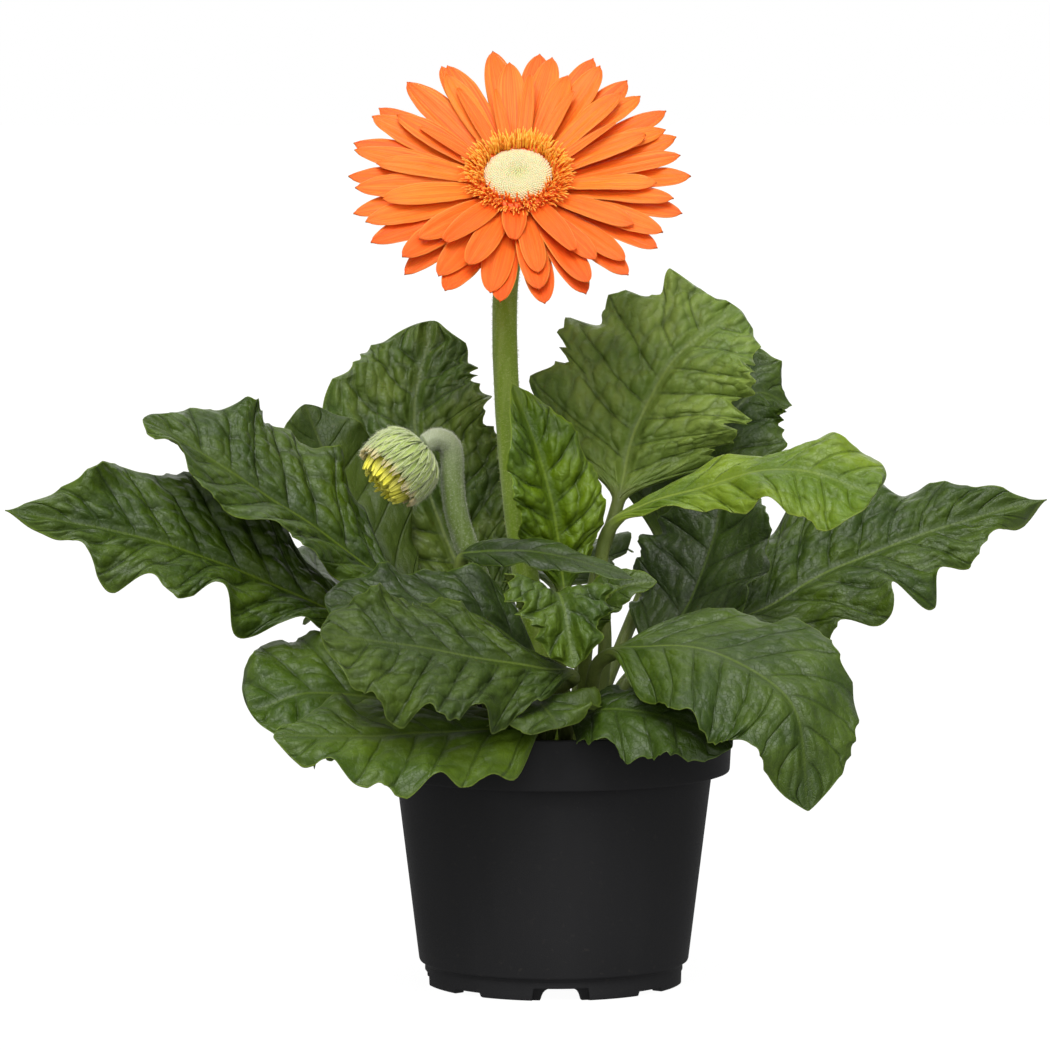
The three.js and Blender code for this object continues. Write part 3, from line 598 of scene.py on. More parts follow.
# %% Each leaf: where it grows, how it lies and how its blade is cut
def grow(root, finish, path, face, half, rise=0.6, tip=0.7, fold=-0.1, ruffle=3, phase=0,
         lobe=0.1, hang=0, upright=False):
    """root = distance from the pot's axis and direction in degrees; finish = kind of green,
    height of the quilting and length of the teeth; path = points of the midrib; face = where
    the upper side looks at the blade's base and tip; half = left and right half width. The
    rest shape the blade as its solid does: rise and tip say how fast it widens and closes;
    fold, lobe and hang, which is how far the lobes' ends bend down, may be (left, right)."""
    return Sizes(**locals())


LEAVES = {
    "far_left": grow((22.5, 185), ("mid", 2.2, 1.2),
        [(-32, -14, 99), (-60, -25, 120), (-100, -39, 141), (-140, -52, 155), (-178, -62, 164)],
        [(0.1, -0.6, 0.8), (0, -0.7, 0.7)], (27, 32), rise=0.95, tip=1.2, fold=0.25, ruffle=5,
        phase=0.4, lobe=(0.3, 0.14), hang=(5, 0)),
    "upper_left": grow((17, 190), ("mid", 2.1, 1.5),
        [(-28, -13, 108), (-48, -18, 131), (-78, -30, 155), (-106, -36, 175), (-135, -34, 192)],
        [(0.35, -0.6, 0.7), (0.3, -0.6, 0.7)], (23, 32), tip=0.65, fold=(0.4, 0.1), ruffle=4,
        phase=1.2, lobe=0.08),
    "back_left_low": grow((15, 160), ("dull", 0.9, 0.6),
        [(-26, 14, 105), (-46, 20, 126), (-64, 29, 150), (-77, 37, 173), (-85, 43, 192)],
        [(0.5, -0.7, 0.4), (0.4, -0.8, 0.4)], (24, 22), fold=0.1, lobe=0.06),
    "back_left_high": grow((9.5, 118), ("pale", 2.4, 3.6),
        [(-12, 22, 102), (-20, 31, 116), (-37, 46, 146), (-48, 62, 184), (-42, 80, 219)],
        [(0, -0.9, 0.4), (-0.2, -0.8, 0.5)], (39, 33), rise=0.4, tip=0.6, fold=0.1, ruffle=4,
        phase=2, lobe=0.15),
    "young_right": grow((9, -30), ("young", 2.4, 0.9),
        [(2, -4, 106), (3, -8, 130), (1, -11, 154), (-5, -12, 178), (-14, -10, 202)],
        [(0.2, -0.9, 0.3), (0.5, -0.8, 0.3)], (16, 17), rise=0.8, tip=0.9, fold=0.3, ruffle=2,
        phase=0.5, upright=True),
    "back_right_high": grow((9.5, 50), ("light", 2.1, 3.4),
        [(13, 26, 128), (22, 33, 159), (28, 40, 184), (42, 50, 207), (64, 64, 224)],
        [(0, -0.9, 0.4), (-0.2, -0.8, 0.5)], (39, 36), rise=0.3, tip=0.5, fold=0.1, ruffle=4,
        phase=0.8, lobe=0.2),
    "back_right_far": grow((15.5, 48), ("mid", 1.5, 2.2),
        [(24, 32, 112), (37, 50, 140), (52, 66, 168), (68, 80, 193), (84, 88, 189)],
        [(-0.2, -0.8, 0.5), (0.2, -0.7, 0.7)], (34, 24), rise=0.45, tip=1, fold=0.1, ruffle=4,
        phase=1.5, lobe=0.18),
    "right_mid": grow((15, -22), ("lime", 1.7, 0.6),
        [(17, -3, 112), (18, -4, 152), (46, -16, 168), (78, -32, 175), (105, -43, 168)],
        [(-0.3, -0.4, 0.9), (0.3, -0.7, 0.6)], (18, 20), rise=0.9, tip=0.22, phase=2.2),
    "right_low": grow((22, 14), ("mid", 1.9, 1.2),
        [(32, 15, 96), (58, 28, 115), (96, 42, 135), (134, 53, 149), (171, 62, 158)],
        [(-0.1, -0.65, 0.75), (0, -0.7, 0.7)], (32, 31), tip=1.3, fold=0.15, ruffle=5, phase=0.9,
        lobe=(0.08, 0.28), hang=(0, 7)),
    "right_front": grow((21, -55), ("mid", 1.3, 1.3),
        [(12, -30, 100), (18, -46, 115), (48, -68, 119), (75, -86, 104), (81, -94, 70)],
        [(0, -0.5, 0.9), (0.4, -0.85, 0.35)], (31, 30), tip=0.8, lobe=0.05),
    "right_inner": grow((15.5, 18), ("dark", 1.3, 1.0),
        [(22, 8, 97), (31, 14, 107), (46, 24, 127), (55, 33, 148), (58, 42, 166)],
        [(-0.5, -0.7, 0.5), (-0.4, -0.8, 0.4)], (25, 27), rise=0.45, tip=0.6, fold=0.2, phase=1,
        lobe=0.12),
    "front_left": grow((14.5, -100), ("dull", 2.1, 2.0),
        [(1, -33, 101), (5, -52, 109), (-19, -69, 116), (-47, -81, 122), (-75, -88, 127)],
        [(0, -0.7, 0.75), (-0.1, -0.7, 0.75)], (29, 26), rise=0.8, tip=0.6, ruffle=4, phase=0.3,
        lobe=(0.16, 0.1), hang=(3, 0)),
    "front_centre": grow((21, -118), ("dull", 1.1, 0.8),
        [(-10, -33, 95), (-9, -45, 99), (-7, -57, 102), (-3, -69, 100), (1, -78, 95)],
        [(0, -0.6, 0.8), (0.2, -0.8, 0.5)], (20, 19), tip=0.6, phase=1.3, lobe=0.12),
    "left_lower": grow((21, -150), ("fair", 1.6, 0.6),
        [(-30, -24, 93), (-44, -38, 97), (-63, -51, 102), (-82, -59, 104), (-99, -65, 99)],
        [(0, -0.7, 0.75), (-0.1, -0.7, 0.7)], (27, 27), tip=0.5, lobe=0.08, hang=(1.5, 0)),
    "left_bottom": grow((21.5, -104), ("fair", 1.4, 0.8),
        [(-5, -39, 90), (-4, -54, 93.5), (-36, -74, 93), (-64, -87, 94), (-90, -93, 94)],
        [(0, -0.55, 0.85), (0, -0.55, 0.85)], (25, 25), rise=0.45, phase=2, hang=(2, 0)),
    "front_bottom": grow((21.5, -82), ("dark", 1.2, 1.6),
        [(4, -38, 89), (5, -48, 95), (20, -63, 99), (39, -74, 97), (57, -80, 89)],
        [(0, -0.6, 0.8), (0.2, -0.7, 0.6)], (22, 20), phase=1, lobe=0.16),
    "centre_flat": grow((8.5, -100), ("dark", 0.9, 0.5),
        [(-22, -17, 116), (-31, -18, 143), (-14, -29, 148), (6, -38, 146), (26, -44, 140)],
        [(-0.8, -0.3, 0.5), (0.2, -0.4, 0.9)], (7, 8), ruffle=2, upright=True),
    "small_bright": grow((9.5, 5), ("mid", 0.7, 0.8),
        [(10, -6, 102), (11, -13, 116), (14, -17, 127), (22, -20, 135), (34, -21, 137)],
        [(-0.4, -0.8, 0.3), (-0.2, -0.7, 0.6)], (8, 8), fold=0.1, ruffle=1, lobe=0.15,
        upright=True),
    "young_curl": grow((15, -75), ("fair", 2.6, 2.8),
        [(2, -26, 106), (-2, -36, 122), (0, -45, 135), (3, -58, 132), (6, -67, 113)],
        [(0, 0.7, 0.6), (0.1, -0.9, 0.45)], (19, 19), fold=0.1, ruffle=2.5, phase=0.6, lobe=0.26),
    "front_left_dark": grow((14.5, -135), ("dark", 1.6, 0.8),
        [(-8, -22, 98), (-7, -29, 111), (-26, -41, 128), (-50, -48, 132), (-75, -53, 134)],
        [(0, -0.8, 0.6), (0, -0.7, 0.7)], (21, 18), rise=0.4, tip=0.5, phase=1, lobe=0.12),
    "right_under": grow((21, -8), ("dark", 1.2, 1.0),
        [(32, -2, 95), (42, -5, 104), (58, -4, 112), (76, 1, 115), (92, 6, 110)],
        [(0, -0.6, 0.8), (0, -0.6, 0.8)], (13, 22), rise=0.45, tip=0.6, lobe=0.15),
    "behind_right": grow((21, 62), ("mid", 1.5, 1.4),
        [(26, 40, 96), (42, 64, 112), (56, 86, 122), (68, 108, 124), (76, 130, 116)],
        [(-0.2, -0.3, 0.9), (0.2, 0.3, 0.9)], (27, 27), ruffle=4, lobe=0.2),
    "behind_middle": grow((20, 92), ("mid", 1.5, 1.4),
        [(2, 44, 102), (2, 72, 124), (2, 98, 138), (0, 122, 138), (-4, 144, 126)],
        [(0, -0.4, 0.9), (0, 0.3, 0.9)], (28, 28), ruffle=4, phase=1, lobe=0.2),
    "behind_left": grow((21, 120), ("dark", 1.5, 1.4),
        [(-24, 42, 96), (-42, 64, 110), (-56, 86, 118), (-66, 108, 118), (-74, 130, 108)],
        [(0.2, -0.3, 0.9), (-0.2, 0.3, 0.9)], (27, 27), ruffle=4, phase=2, lobe=0.2),
    "left_behind": grow((21.5, 150), ("mid", 1.5, 1.4),
        [(-38, 20, 100), (-62, 32, 120), (-88, 46, 134), (-112, 60, 142), (-134, 72, 142)],
        [(0.1, -0.3, 0.9), (-0.1, 0.1, 0.9)], (25, 25), tip=0.8, phase=0.5, lobe=0.2),
    "right_behind": grow((21.5, 34), ("dark", 1.5, 1.4),
        [(36, 34, 98), (60, 56, 116), (84, 76, 130), (106, 92, 137), (126, 106, 136)],
        [(0, -0.2, 1), (0.1, 0.2, 0.9)], (25, 25), tip=0.8, phase=0.5, lobe=0.2),
}
print("leaves:", len(LEAVES))

# %% What all blades share
# thickness, calm, stalk, rib, vein_gap and cross_gap are in mm; calm is the half width from
# which the waves have their full height; teeth and waves are counted over the whole blade.
BLADE = Sizes(thickness=0.6, lobes=5, teeth=16, waves=2.5, small_waves=5.5, stagger=1.7, calm=15,
              sweep=0.3, blend=0.16, stalk=2.3, rib=0.5, vein_gap=11.5, cross_gap=4.6, slant=0.13,
              groove=0.9, ridge=1.3)
SHIFT = 0.618  # moved on by this share of a step each time, neighbours never line up


def of_side(value, right):
    """A value for both sides of a blade, or the one of its (left, right) pair."""
    left_value, right_value = np.broadcast_to(value, 2)
    return np.where(right, right_value, left_value)


def bays(leaf, v, right):
    """1 in the middle of a bay, 0 at the end of a lobe: the absolute cosine of the share of
    the length, raised to 2.6, so that lobes are broad and bays narrow."""
    drift = v + 0.012 * np.sin(9 * v + leaf.phase + 2 * right)
    return np.abs(np.cos(math.pi * BLADE.lobes * drift)) ** 2.6


def half_width(leaf, v, right):
    """Half width at v along the blade: a hump that starts narrow, is widest past the middle
    and ends in a tip, cut by bays of uneven depth and edged with small uneven teeth."""
    peak = leaf.rise / (leaf.rise + leaf.tip)
    form = lambda x: x ** leaf.rise * (1 - x) ** leaf.tip
    plain = of_side(leaf.half, right) * form(np.clip(v, 0, 0.9995)) / form(peak)
    deep = of_side(leaf.lobe, right) * (1 + 0.3 * np.sin(13 * v + 5 * leaf.phase + 3 * right))
    tooth = v * BLADE.teeth + 0.35 * np.sin(23 * v + 3 * leaf.phase) + leaf.phase + 0.4 * right
    tooth = tooth % 1
    tooth = np.where(tooth < 0.68, tooth / 0.68, (1 - tooth) / 0.32) ** 1.7
    uneven = 0.85 + 0.35 * np.sin(11 * v + 4 * leaf.phase + 2 * right)
    teeth = leaf.finish[2] * uneven * (tooth - 0.35) * np.minimum(1, plain / 14)
    return plain * (1 - deep * bays(leaf, v, right)) + teeth * step(v, 0.06, 0.2)


# %% Veins and quilting
def vein_map(leaf, v, u, half, length):
    """Side veins lie where phase is a whole number, and leave the midrib at a slant. Cross
    veins lie where the distance from the midrib, in steps of cross_gap moved on by a share
    from one side vein to the next and shaken by a ripple, is a whole number."""
    count = max(5, round(length / BLADE.vein_gap))
    reach, x, y = np.abs(u) * half, u * half, v * length
    wander = 0.06 * ripple(x, y, 9, int(leaf.phase * 10) + 20)
    phase = count * (v - BLADE.slant * np.abs(u) ** 1.2) + 0.5 * (u < 0) + wander
    cross = reach / BLADE.cross_gap + (SHIFT * np.floor(phase)) % 1 + 0.45 * ripple(x, y, 7, 7)
    return phase, cross, reach


def quilting(phase, cross):
    """Height of the pillows, 0 in a vein and about 1 in the middle: a dome between side veins
    times domes between cross veins, whose heights differ from pillow to pillow."""
    dome = lambda x: 1 - (2 * np.abs(x % 1 - 0.5)) ** 2.2
    tall = 0.65 + 0.7 * ((SHIFT * np.floor(phase) + 0.37 * np.floor(cross)) % 1)
    return dome(phase) * (0.6 + 0.4 * tall * dome(cross))


def blade_height(leaf, v, u, half, length, veins, seed):
    """Height of the upper or lower skin's middle line over the flat blade: the fold, the
    margin's waves, the lobes' droop, two sizes of ripple and the quilting."""
    phase, cross, reach = veins
    calm = np.minimum(1, half / BLADE.calm)
    turn = leaf.phase + BLADE.stagger * (u > 0)
    wave = np.sin(TURN * BLADE.waves * v + turn) + 0.45 * np.abs(u) ** 2 * np.sin(
        TURN * BLADE.small_waves * v + 3 * turn)
    soft = step(reach, 0.5, 3.5) * step(half - reach, 0.1, 4) * step(v, 0.02, 0.14)
    x, y = u * half, v * length
    height = of_side(leaf.fold, u > 0) * (np.sqrt(u * u + 0.004) - 0.05) * half
    height = height + leaf.ruffle * u * u * wave * calm
    height = height - of_side(leaf.hang, u > 0) * np.abs(u) ** 3 * (1 - bays(leaf, v, u > 0))
    height = height + calm * (1.6 * ripple(x + 50, y, 19, seed)
                              + 0.7 * ripple(x + 90, y, 9, seed + 1) * soft)
    return height + leaf.finish[1] * (quilting(phase, cross) - 0.35) * soft


# %% Two sides of a flat thing
def both_sides(x):
    """Numbers across the upper side, and back again along the lower side."""
    return np.concatenate([x, x[..., ::-1]], -1)


def up_and_down(columns):
    """1 for the corners of the upper side and -1 for those of the lower one."""
    return np.repeat([1.0, -1.0], len(columns))


# %% The leaf's rings
def leaf_spine(leaf, fine):
    """Middle, direction, right and up of each ring, with v = 0 on the stalk and 0 to 1 along
    the blade; two more rings stand in the soil."""
    far, azimuth = leaf.root
    foot = polar(far, math.radians(azimuth), ROOT_TOP)
    path, faces = np.vstack([foot, leaf.path]), np.array(leaf.face, float)
    start = 2 / (len(path) - 1)
    places, _ = smooth_path(path, np.linspace(start, 1, 60))
    length = np.linalg.norm(np.diff(places, axis=0), axis=1).sum()
    stalk = np.linspace(0, 1, 26)
    blade = 1 - (1 - np.linspace(0, 1, int(length / fine) + 12)[1:]) ** 1.3
    blade[-1] = 0.9992
    middle, along = smooth_path(path, np.concatenate([start * stalk, mix(start, 1, blade)]))
    settle = step(np.concatenate([stalk, 1 + blade]), 0, 0.3)[:, None]
    along = unit(mix(np.array([0, 0, 1.0]), along, settle))
    foot_face = unit((faces[0] if leaf.upright else -foot) * [1, 1, 0])
    face = np.vstack([mix(foot_face, faces[0], stalk[:, None]), mix(*faces, blade[:, None])])
    right = unit(np.cross(along, face))
    up = np.cross(right, along)
    middle = np.vstack([[(foot[0], foot[1], z) for z in BURIED], middle])
    along, right, up = (np.vstack([x[:1], x[:1], x]) for x in (along, right, up))
    v = np.concatenate([[0, 0], 0 * stalk, blade])[:, None]
    return middle, along, right, up, v, length, foot


def leaf_rings(leaf, fine):
    """Rings of a leaf. On the stalk they are round. Over the first sixth of the blade they
    flatten, until a corner lies at its share u of the half width, at the blade's height,
    half the thickness up or down, and swept forward. The midrib is a groove above and a
    ridge below."""
    middle, along, right, up, v, length, foot = leaf_spine(leaf, fine)
    half_count = max(7, int(max(leaf.half) / (1.1 * fine)))
    column = np.linspace(-1, 1, 2 * half_count + 1)
    u, side = both_sides(column)[None], up_and_down(column)[None]
    half = np.maximum(half_width(leaf, v, u > 0), 0.8 * (1 - v) + 0.12)
    veins = vein_map(leaf, v, u, half, length)
    phase, _, reach = veins
    seed = int(abs(foot[0]) * 7 + abs(foot[1]) * 3)
    height = blade_height(leaf, v, u, half, length, veins, seed)
    groove = BLADE.groove * np.exp(-(reach / 2.2) ** 2) * (1 - 0.5 * v)
    ridge = BLADE.ridge * (1 - 0.75 * v) * np.exp(-(reach / 1.7) ** 2)
    height = height - np.where(side > 0, groove, ridge)
    height = height + side * BLADE.thickness / 2 * (1 - 0.6 * np.abs(u) ** 10)
    flat = step(v, 0, BLADE.blend)
    radius = mix(BLADE.stalk, BLADE.rib, v)
    angle = math.radians(72) * u
    x = mix(radius * np.sin(angle), u * half, flat)
    z = mix(side * radius * np.cos(angle), height, flat)
    forward = flat * BLADE.sweep * np.abs(u) * half * (1 - v)
    rings = (middle[:, None] + right[:, None] * x[..., None] + up[:, None] * z[..., None]
             + along[:, None] * forward[..., None])[None]
    return rings, dict(phase=phase, reach=reach, edge=half - reach, under=side < 0, blade=flat,
                       share=v, relief=(leaf.finish[1] / 2) ** 1.6)


# %% [markdown]
# ### Leaf finish
# One recipe serves all leaves. A kind of green is four colours: the blade's, a darker one for
# slow patches, which at half strength is also the painted shade in the creases and the midrib's
# valley, its veins' and its underside's. The lines of the veins come from the same numbers that
# quilt the mesh, so colour and form stay together.

# %% The leaf finish
def leaf_look(name, blade, deep, vein, under, rough=0.4, shine=0.4):
    """Green that changes slowly over the blade, painted shade in the creases where veins are sunk
    in and along the midrib's valley, a thin pale midrib and rim, a net of fine veins in the bump,
    and a dull pale underside on which all veins are pale and raised."""
    look = Look("leaf_" + name, Specular_IOR_Level=shine)
    phase, reach, edge, below, grown, share, relief = look.read(
        "phase", "reach", "edge", "under", "blade", "share", "relief")
    patch, speckle, pucker = look.noise(45), look.noise(520), look.noise(260, 2.0)
    net = look.cells(620, "DISTANCE_TO_EDGE").step(0.0, 0.09)
    pillow = look.node("ShaderNodeTexVoronoi", dict(feature="SMOOTH_F1"), {
        "Vector": look.joined(phase * 2.2, reach / 4.3), "Scale": 1.0, "Smoothness": 0.25,
        "Randomness": 0.6})
    dome = 1 - (pillow * 1.25).at_most(1.0) ** 2.0
    inside = reach.step(1.5, 4) * edge.step(0.0, 2.5) * grown
    side_vein = phase.line(0.07) * reach.step(0.5, 3)
    seam = pillow.step(0.45, 0.8) * inside
    rib = reach.step(0.7, 0.2) * (0.5 - share * 0.45)
    # Painted shade along the valley of the midrib.
    valley = reach.step(3.0, 0.8) * 0.35
    rim = edge.step(0.5, 0.1) * grown * 0.5
    # Painted shade in the sunk side veins and the seams between pillows, stronger on quilted
    # leaves.
    crease = (side_vein * (0.3 + 0.3 * relief) + seam * 0.45 * relief) * grown
    pale = look.coats(
        look.blend((1 - net) * 0.25 + speckle * 0.3, under, vein),
        ((side_vein * 0.8 * grown + seam * 0.3 + rib + rim).at_most(1.0), vein))
    colour = look.coats(
        look.blend(patch.step(0.3, 0.7), deep, blade),
        (speckle.step(0.45, 0.8) * 0.15, vein),
        # painted shade: creases and the midrib's valley turn towards half-strength deep green
        ((crease + valley).at_most(0.8), (*deep, 0.5)),
        ((rib + rim).at_most(1.0), vein),
        (below, pale))
    stalk = look.blend(look.noise(300, 2.0, (1, 1, 0.1)), (80, 98, 34), (112, 124, 56))
    colour = look.blend(grown.step(0.0, 0.5), stalk, colour)
    height = ((dome * 1.3 * inside + pucker * 0.45) * relief + net * 0.06 + speckle * 0.06
              - side_vein * 0.3 * (1 - below * 2))
    return look.finish(colour, rough + 0.12 * speckle + 0.16 * below, height, 0.001)


KINDS = {
    "dark": ((50, 72, 4), (30, 48, 2), (92, 116, 32), (86, 102, 42)),
    "mid": ((66, 88, 6), (42, 64, 3), (112, 134, 38), (98, 114, 44)),
    "dull": ((66, 86, 10), (44, 64, 5), (108, 127, 46), (98, 114, 52), 0.46, 0.36),
    "fair": ((78, 101, 14), (52, 76, 6), (122, 144, 46), (104, 122, 50)),
    "pale": ((92, 112, 34), (62, 86, 20), (132, 150, 64), (108, 124, 58)),
    "light": ((122, 144, 58), (88, 114, 36), (140, 160, 60), (116, 134, 60)),
    "lime": ((113, 136, 24), (84, 111, 14), (150, 168, 64), (126, 144, 60)),
    "young": ((98, 124, 3), (66, 94, 2), (136, 160, 36), (104, 128, 26)),
}
GREENS = {name: leaf_look(name, *kind) for name, kind in KINDS.items()}

# %% Make the leaves
YOUNG = ("young_right", "right_mid", "small_bright", "young_curl")
FINE, COARSE = 1.05, 1.5
for name, leaf in LEAVES.items():
    rings, facts = leaf_rings(leaf, COARSE if "behind" in name else FINE)
    piece("blade_" + name, [shell(rings, facts)], GREENS[leaf.finish[0]],
          "young_leaf" if name in YOUNG else "leaf_green", "leaf_" + name)

# %% [markdown]
# ## Stems
# Both flower stems are thick, fleshy and softly ribbed, and covered with short pale hairs
# that show as a bright fuzz along their edges. The hairs are real geometry, because a hair
# system would not be kept with the part.

# %% Rings of a stem
SCAPE = [(0, 2, ROOT_TOP), (-5, 4, 110), (-11, 6, 147), (-15, 8, 185), (-16.5, 12, 222),
         (-15, 17, 243)]
BUD_SCAPE = [(-9, -2, ROOT_TOP), (-18, -5, 115), (-27.5, -8.5, 143), (-32.4, -9.6, 158),
             (-33.8, -9.4, 169), (-34, -9.2, 178.2), (-35.5, -9.7, 182.1), (-39.2, -11, 183.7)]


def stem_rings(path, radius, corners, every, ribs=7):
    """Round rings along the path, each with soft ribs; radius(t) gives its size."""
    path = np.asarray(path, float)
    t = np.linspace(0, 1, int(np.linalg.norm(np.diff(path, axis=0), axis=1).sum() / every))
    middle, along = smooth_path(path, t)
    along = unit(mix(np.array([0, 0, 1.0]), along, step(t, 0, 0.08)[:, None]))
    middle = np.vstack([path[0] - [0, 0, 11.5], path[0] - [0, 0, 5], middle])
    along = np.vstack([along[:1], along[:1], along])
    t = np.concatenate([[0, 0], t])[:, None]
    up = unit(np.array([0, 1.0, 0]) - along * along[:, 1:2])
    side = np.cross(along, up)
    angle = around(corners)
    size = radius(t) * (1 + 0.018 * np.cos(ribs * angle + 3 * t)
                        + 0.02 * ripple(angle * 3, t * 40, 1, 5))
    out = np.cos(angle)[:, None] * up[:, None] + np.sin(angle)[:, None] * side[:, None]
    return (middle[:, None] + out * size[..., None])[None], out, t


def stem_hairs(rings, out, count, length, seed, lean=0.35, radius=0.06):
    """Hairs at random places on a stem, leaning up or down the stem by chance."""
    rng = np.random.default_rng(seed)
    n, m = rings.shape[1:3]
    i, j = rng.integers(3, n - 2, count), rng.integers(0, m, count)
    along, across = rng.uniform(0, 1, (count, 2, 1)).transpose(1, 0, 2)
    side = lambda j: mix(rings[0, i, j], rings[0, i + 1, j], along)
    return hairs(mix(side(j), side((j + 1) % m), across),
                 out[i, j] + rng.normal(0, lean, (count, 3)),
                 rng.uniform(0.5, 1.2, count) * length, radius)


# %% Stem finish
def stem_look(name, low, high, hair):
    """Green flesh with paler lengthwise streaks, lighter towards the head, and white hairs."""
    look = Look(name, Sheen_Weight=0.25, Sheen_Roughness=0.5)
    height, on_hair = look.read("height", "hair")
    streak, fleck = look.noise(500, 3.0, (1, 1, 0.06)), look.noise(1300, 2.0)
    colour = look.coats(
        look.blend(height.step(0.35, 1.0), low, high),
        (streak.step(0.4, 0.75) * 0.2 + fleck.step(0.5, 0.75) * 0.26, hair),
        (on_hair, hair))
    return look.finish(colour, 0.6, streak * 0.6 + fleck * 0.4, 0.0002)


def stem(name, path, radius, corners, every, look, **fuzz):
    """A stem with its hairs: fuzz holds their count, length and seed."""
    rings, out, t = stem_rings(path, radius, corners, every)
    piece(name + "_fine", [shell(rings, {"height": t}), stem_hairs(rings, out, **fuzz)], look,
          "stem_green", name)


# %% Where the two heads are, and the two stems that reach them
def head_frame(spot, facing):
    """Turns points of a head's own frame, which looks along +z, to face another way: the
    shortest turn from +z to the facing direction, then the move to its spot."""
    f = np.asarray(facing, float) / np.linalg.norm(facing)
    cross = np.array([[0, 0, f[0]], [0, 0, f[1]], [-f[0], -f[1], 0]])
    turn = np.eye(3) + cross + cross @ cross / (1 + f[2])
    return lambda points: points @ turn.T + np.asarray(spot, float)


TILT = math.radians(45)
bloom = head_frame(spot=(-12, 0, 270), facing=(0, -math.sin(TILT), math.cos(TILT)))
bud = head_frame(spot=(-43.5, -12.5, 181.5), facing=(-0.72, -0.25, -0.64))
stem("scape", [*SCAPE, *bloom(np.array([[0, 0, -25.0], [0, 0, -18.3]]))],
     lambda t: 4.6 - 0.8 * t, corners=40, every=1.6,
     look=stem_look("stem_green", (116, 144, 8), (148, 174, 20), (194, 208, 124)),
     count=7000, length=0.95, seed=31)
stem("bud_scape", [*BUD_SCAPE, *bud(np.array([[0, 0, -0.6]]))],
     lambda t: 3.9 - 0.8 * t ** 4, corners=36, every=1.2,
     look=stem_look("stem_pale", (90, 112, 32), (150, 158, 126), (186, 192, 166)),
     count=4200, length=0.8, seed=32)

# %% [markdown]
# ## Petals
# What looks like a petal is a whole small flower, a ray floret, whose strap is grooved
# lengthwise and ends in a few tiny teeth. Fifty-six of them stand in three layers, each rolled
# a little so that it slides under its neighbour, and nine half-grown ones stand inside them.
# All petals of a layer are worked out at once.

# %% Straps that leave the axis of a head
def grid(stations, columns):
    """0 to 1 along a strap, and -1 to 1 across it."""
    return np.linspace(0, 1, stations)[None], np.linspace(-1, 1, columns)


def straps(r, z, half, turn, thickness, columns, lift, relief, sway, slide=0.0, roll=0.0):
    """Straps of a head. At station n a strap lies at distance r and height z; its corners lie
    across it at column times half width; lift raises the margins by the column squared,
    relief adds to both faces, slide moves along it, sway sideways, and roll tips it."""
    r, z, half = np.broadcast_arrays(*(np.asarray(x, float) for x in (r, z, half)))
    normal = unit(np.stack([-np.gradient(z, axis=1), np.gradient(r, axis=1)], -1))
    tangent = np.stack([normal[..., 1], -normal[..., 0]], -1)
    c, side = both_sides(columns), up_and_down(columns)
    out = both_sides(relief) + lift * c * c + side * thickness / 2 * (1 - 0.7 * np.abs(c) ** 8)
    out = out + roll * c * half[..., None]
    move = both_sides(slide) if np.ndim(slide) else slide
    x = r[..., None] + normal[..., :1] * out + tangent[..., :1] * move
    height = z[..., None] + normal[..., 1:] * out + tangent[..., 1:] * move
    return spun(x, sway - c * half[..., None], height, turn[:, None, None])


# %% Three layers of petals
PETALS = [Sizes(count=22, length=58.5, half=4.8, root=-4.5, rise=4.2),
          Sizes(count=20, length=56, half=4.6, root=-3.5, rise=6),
          Sizes(count=14, length=48, half=4.2, root=-2.5, rise=8.5)]
BACK = Sizes(length=2, rise=2.4)
CLAW, WIDEST, THICKNESS = 9, 0.64, 0.36


def seeded(seed):
    """Numbers from 0 to 1: each state is 1664525 times the last plus 1013904223, modulo 2^32."""
    while True:
        seed = (seed * 1664525 + 1013904223) % 4294967296
        yield seed / 4294967296


def petal_facts(share, columns, turn, tone, row):
    """What the finish reads. front is 1 for a petal that points down the tilted head and 0
    for one that points up."""
    return dict(share=share, across=both_sides(columns), under=up_and_down(columns) < 0,
                tone=tone, row=row, front=(0.5 - 0.5 * np.sin(turn))[:, None, None])


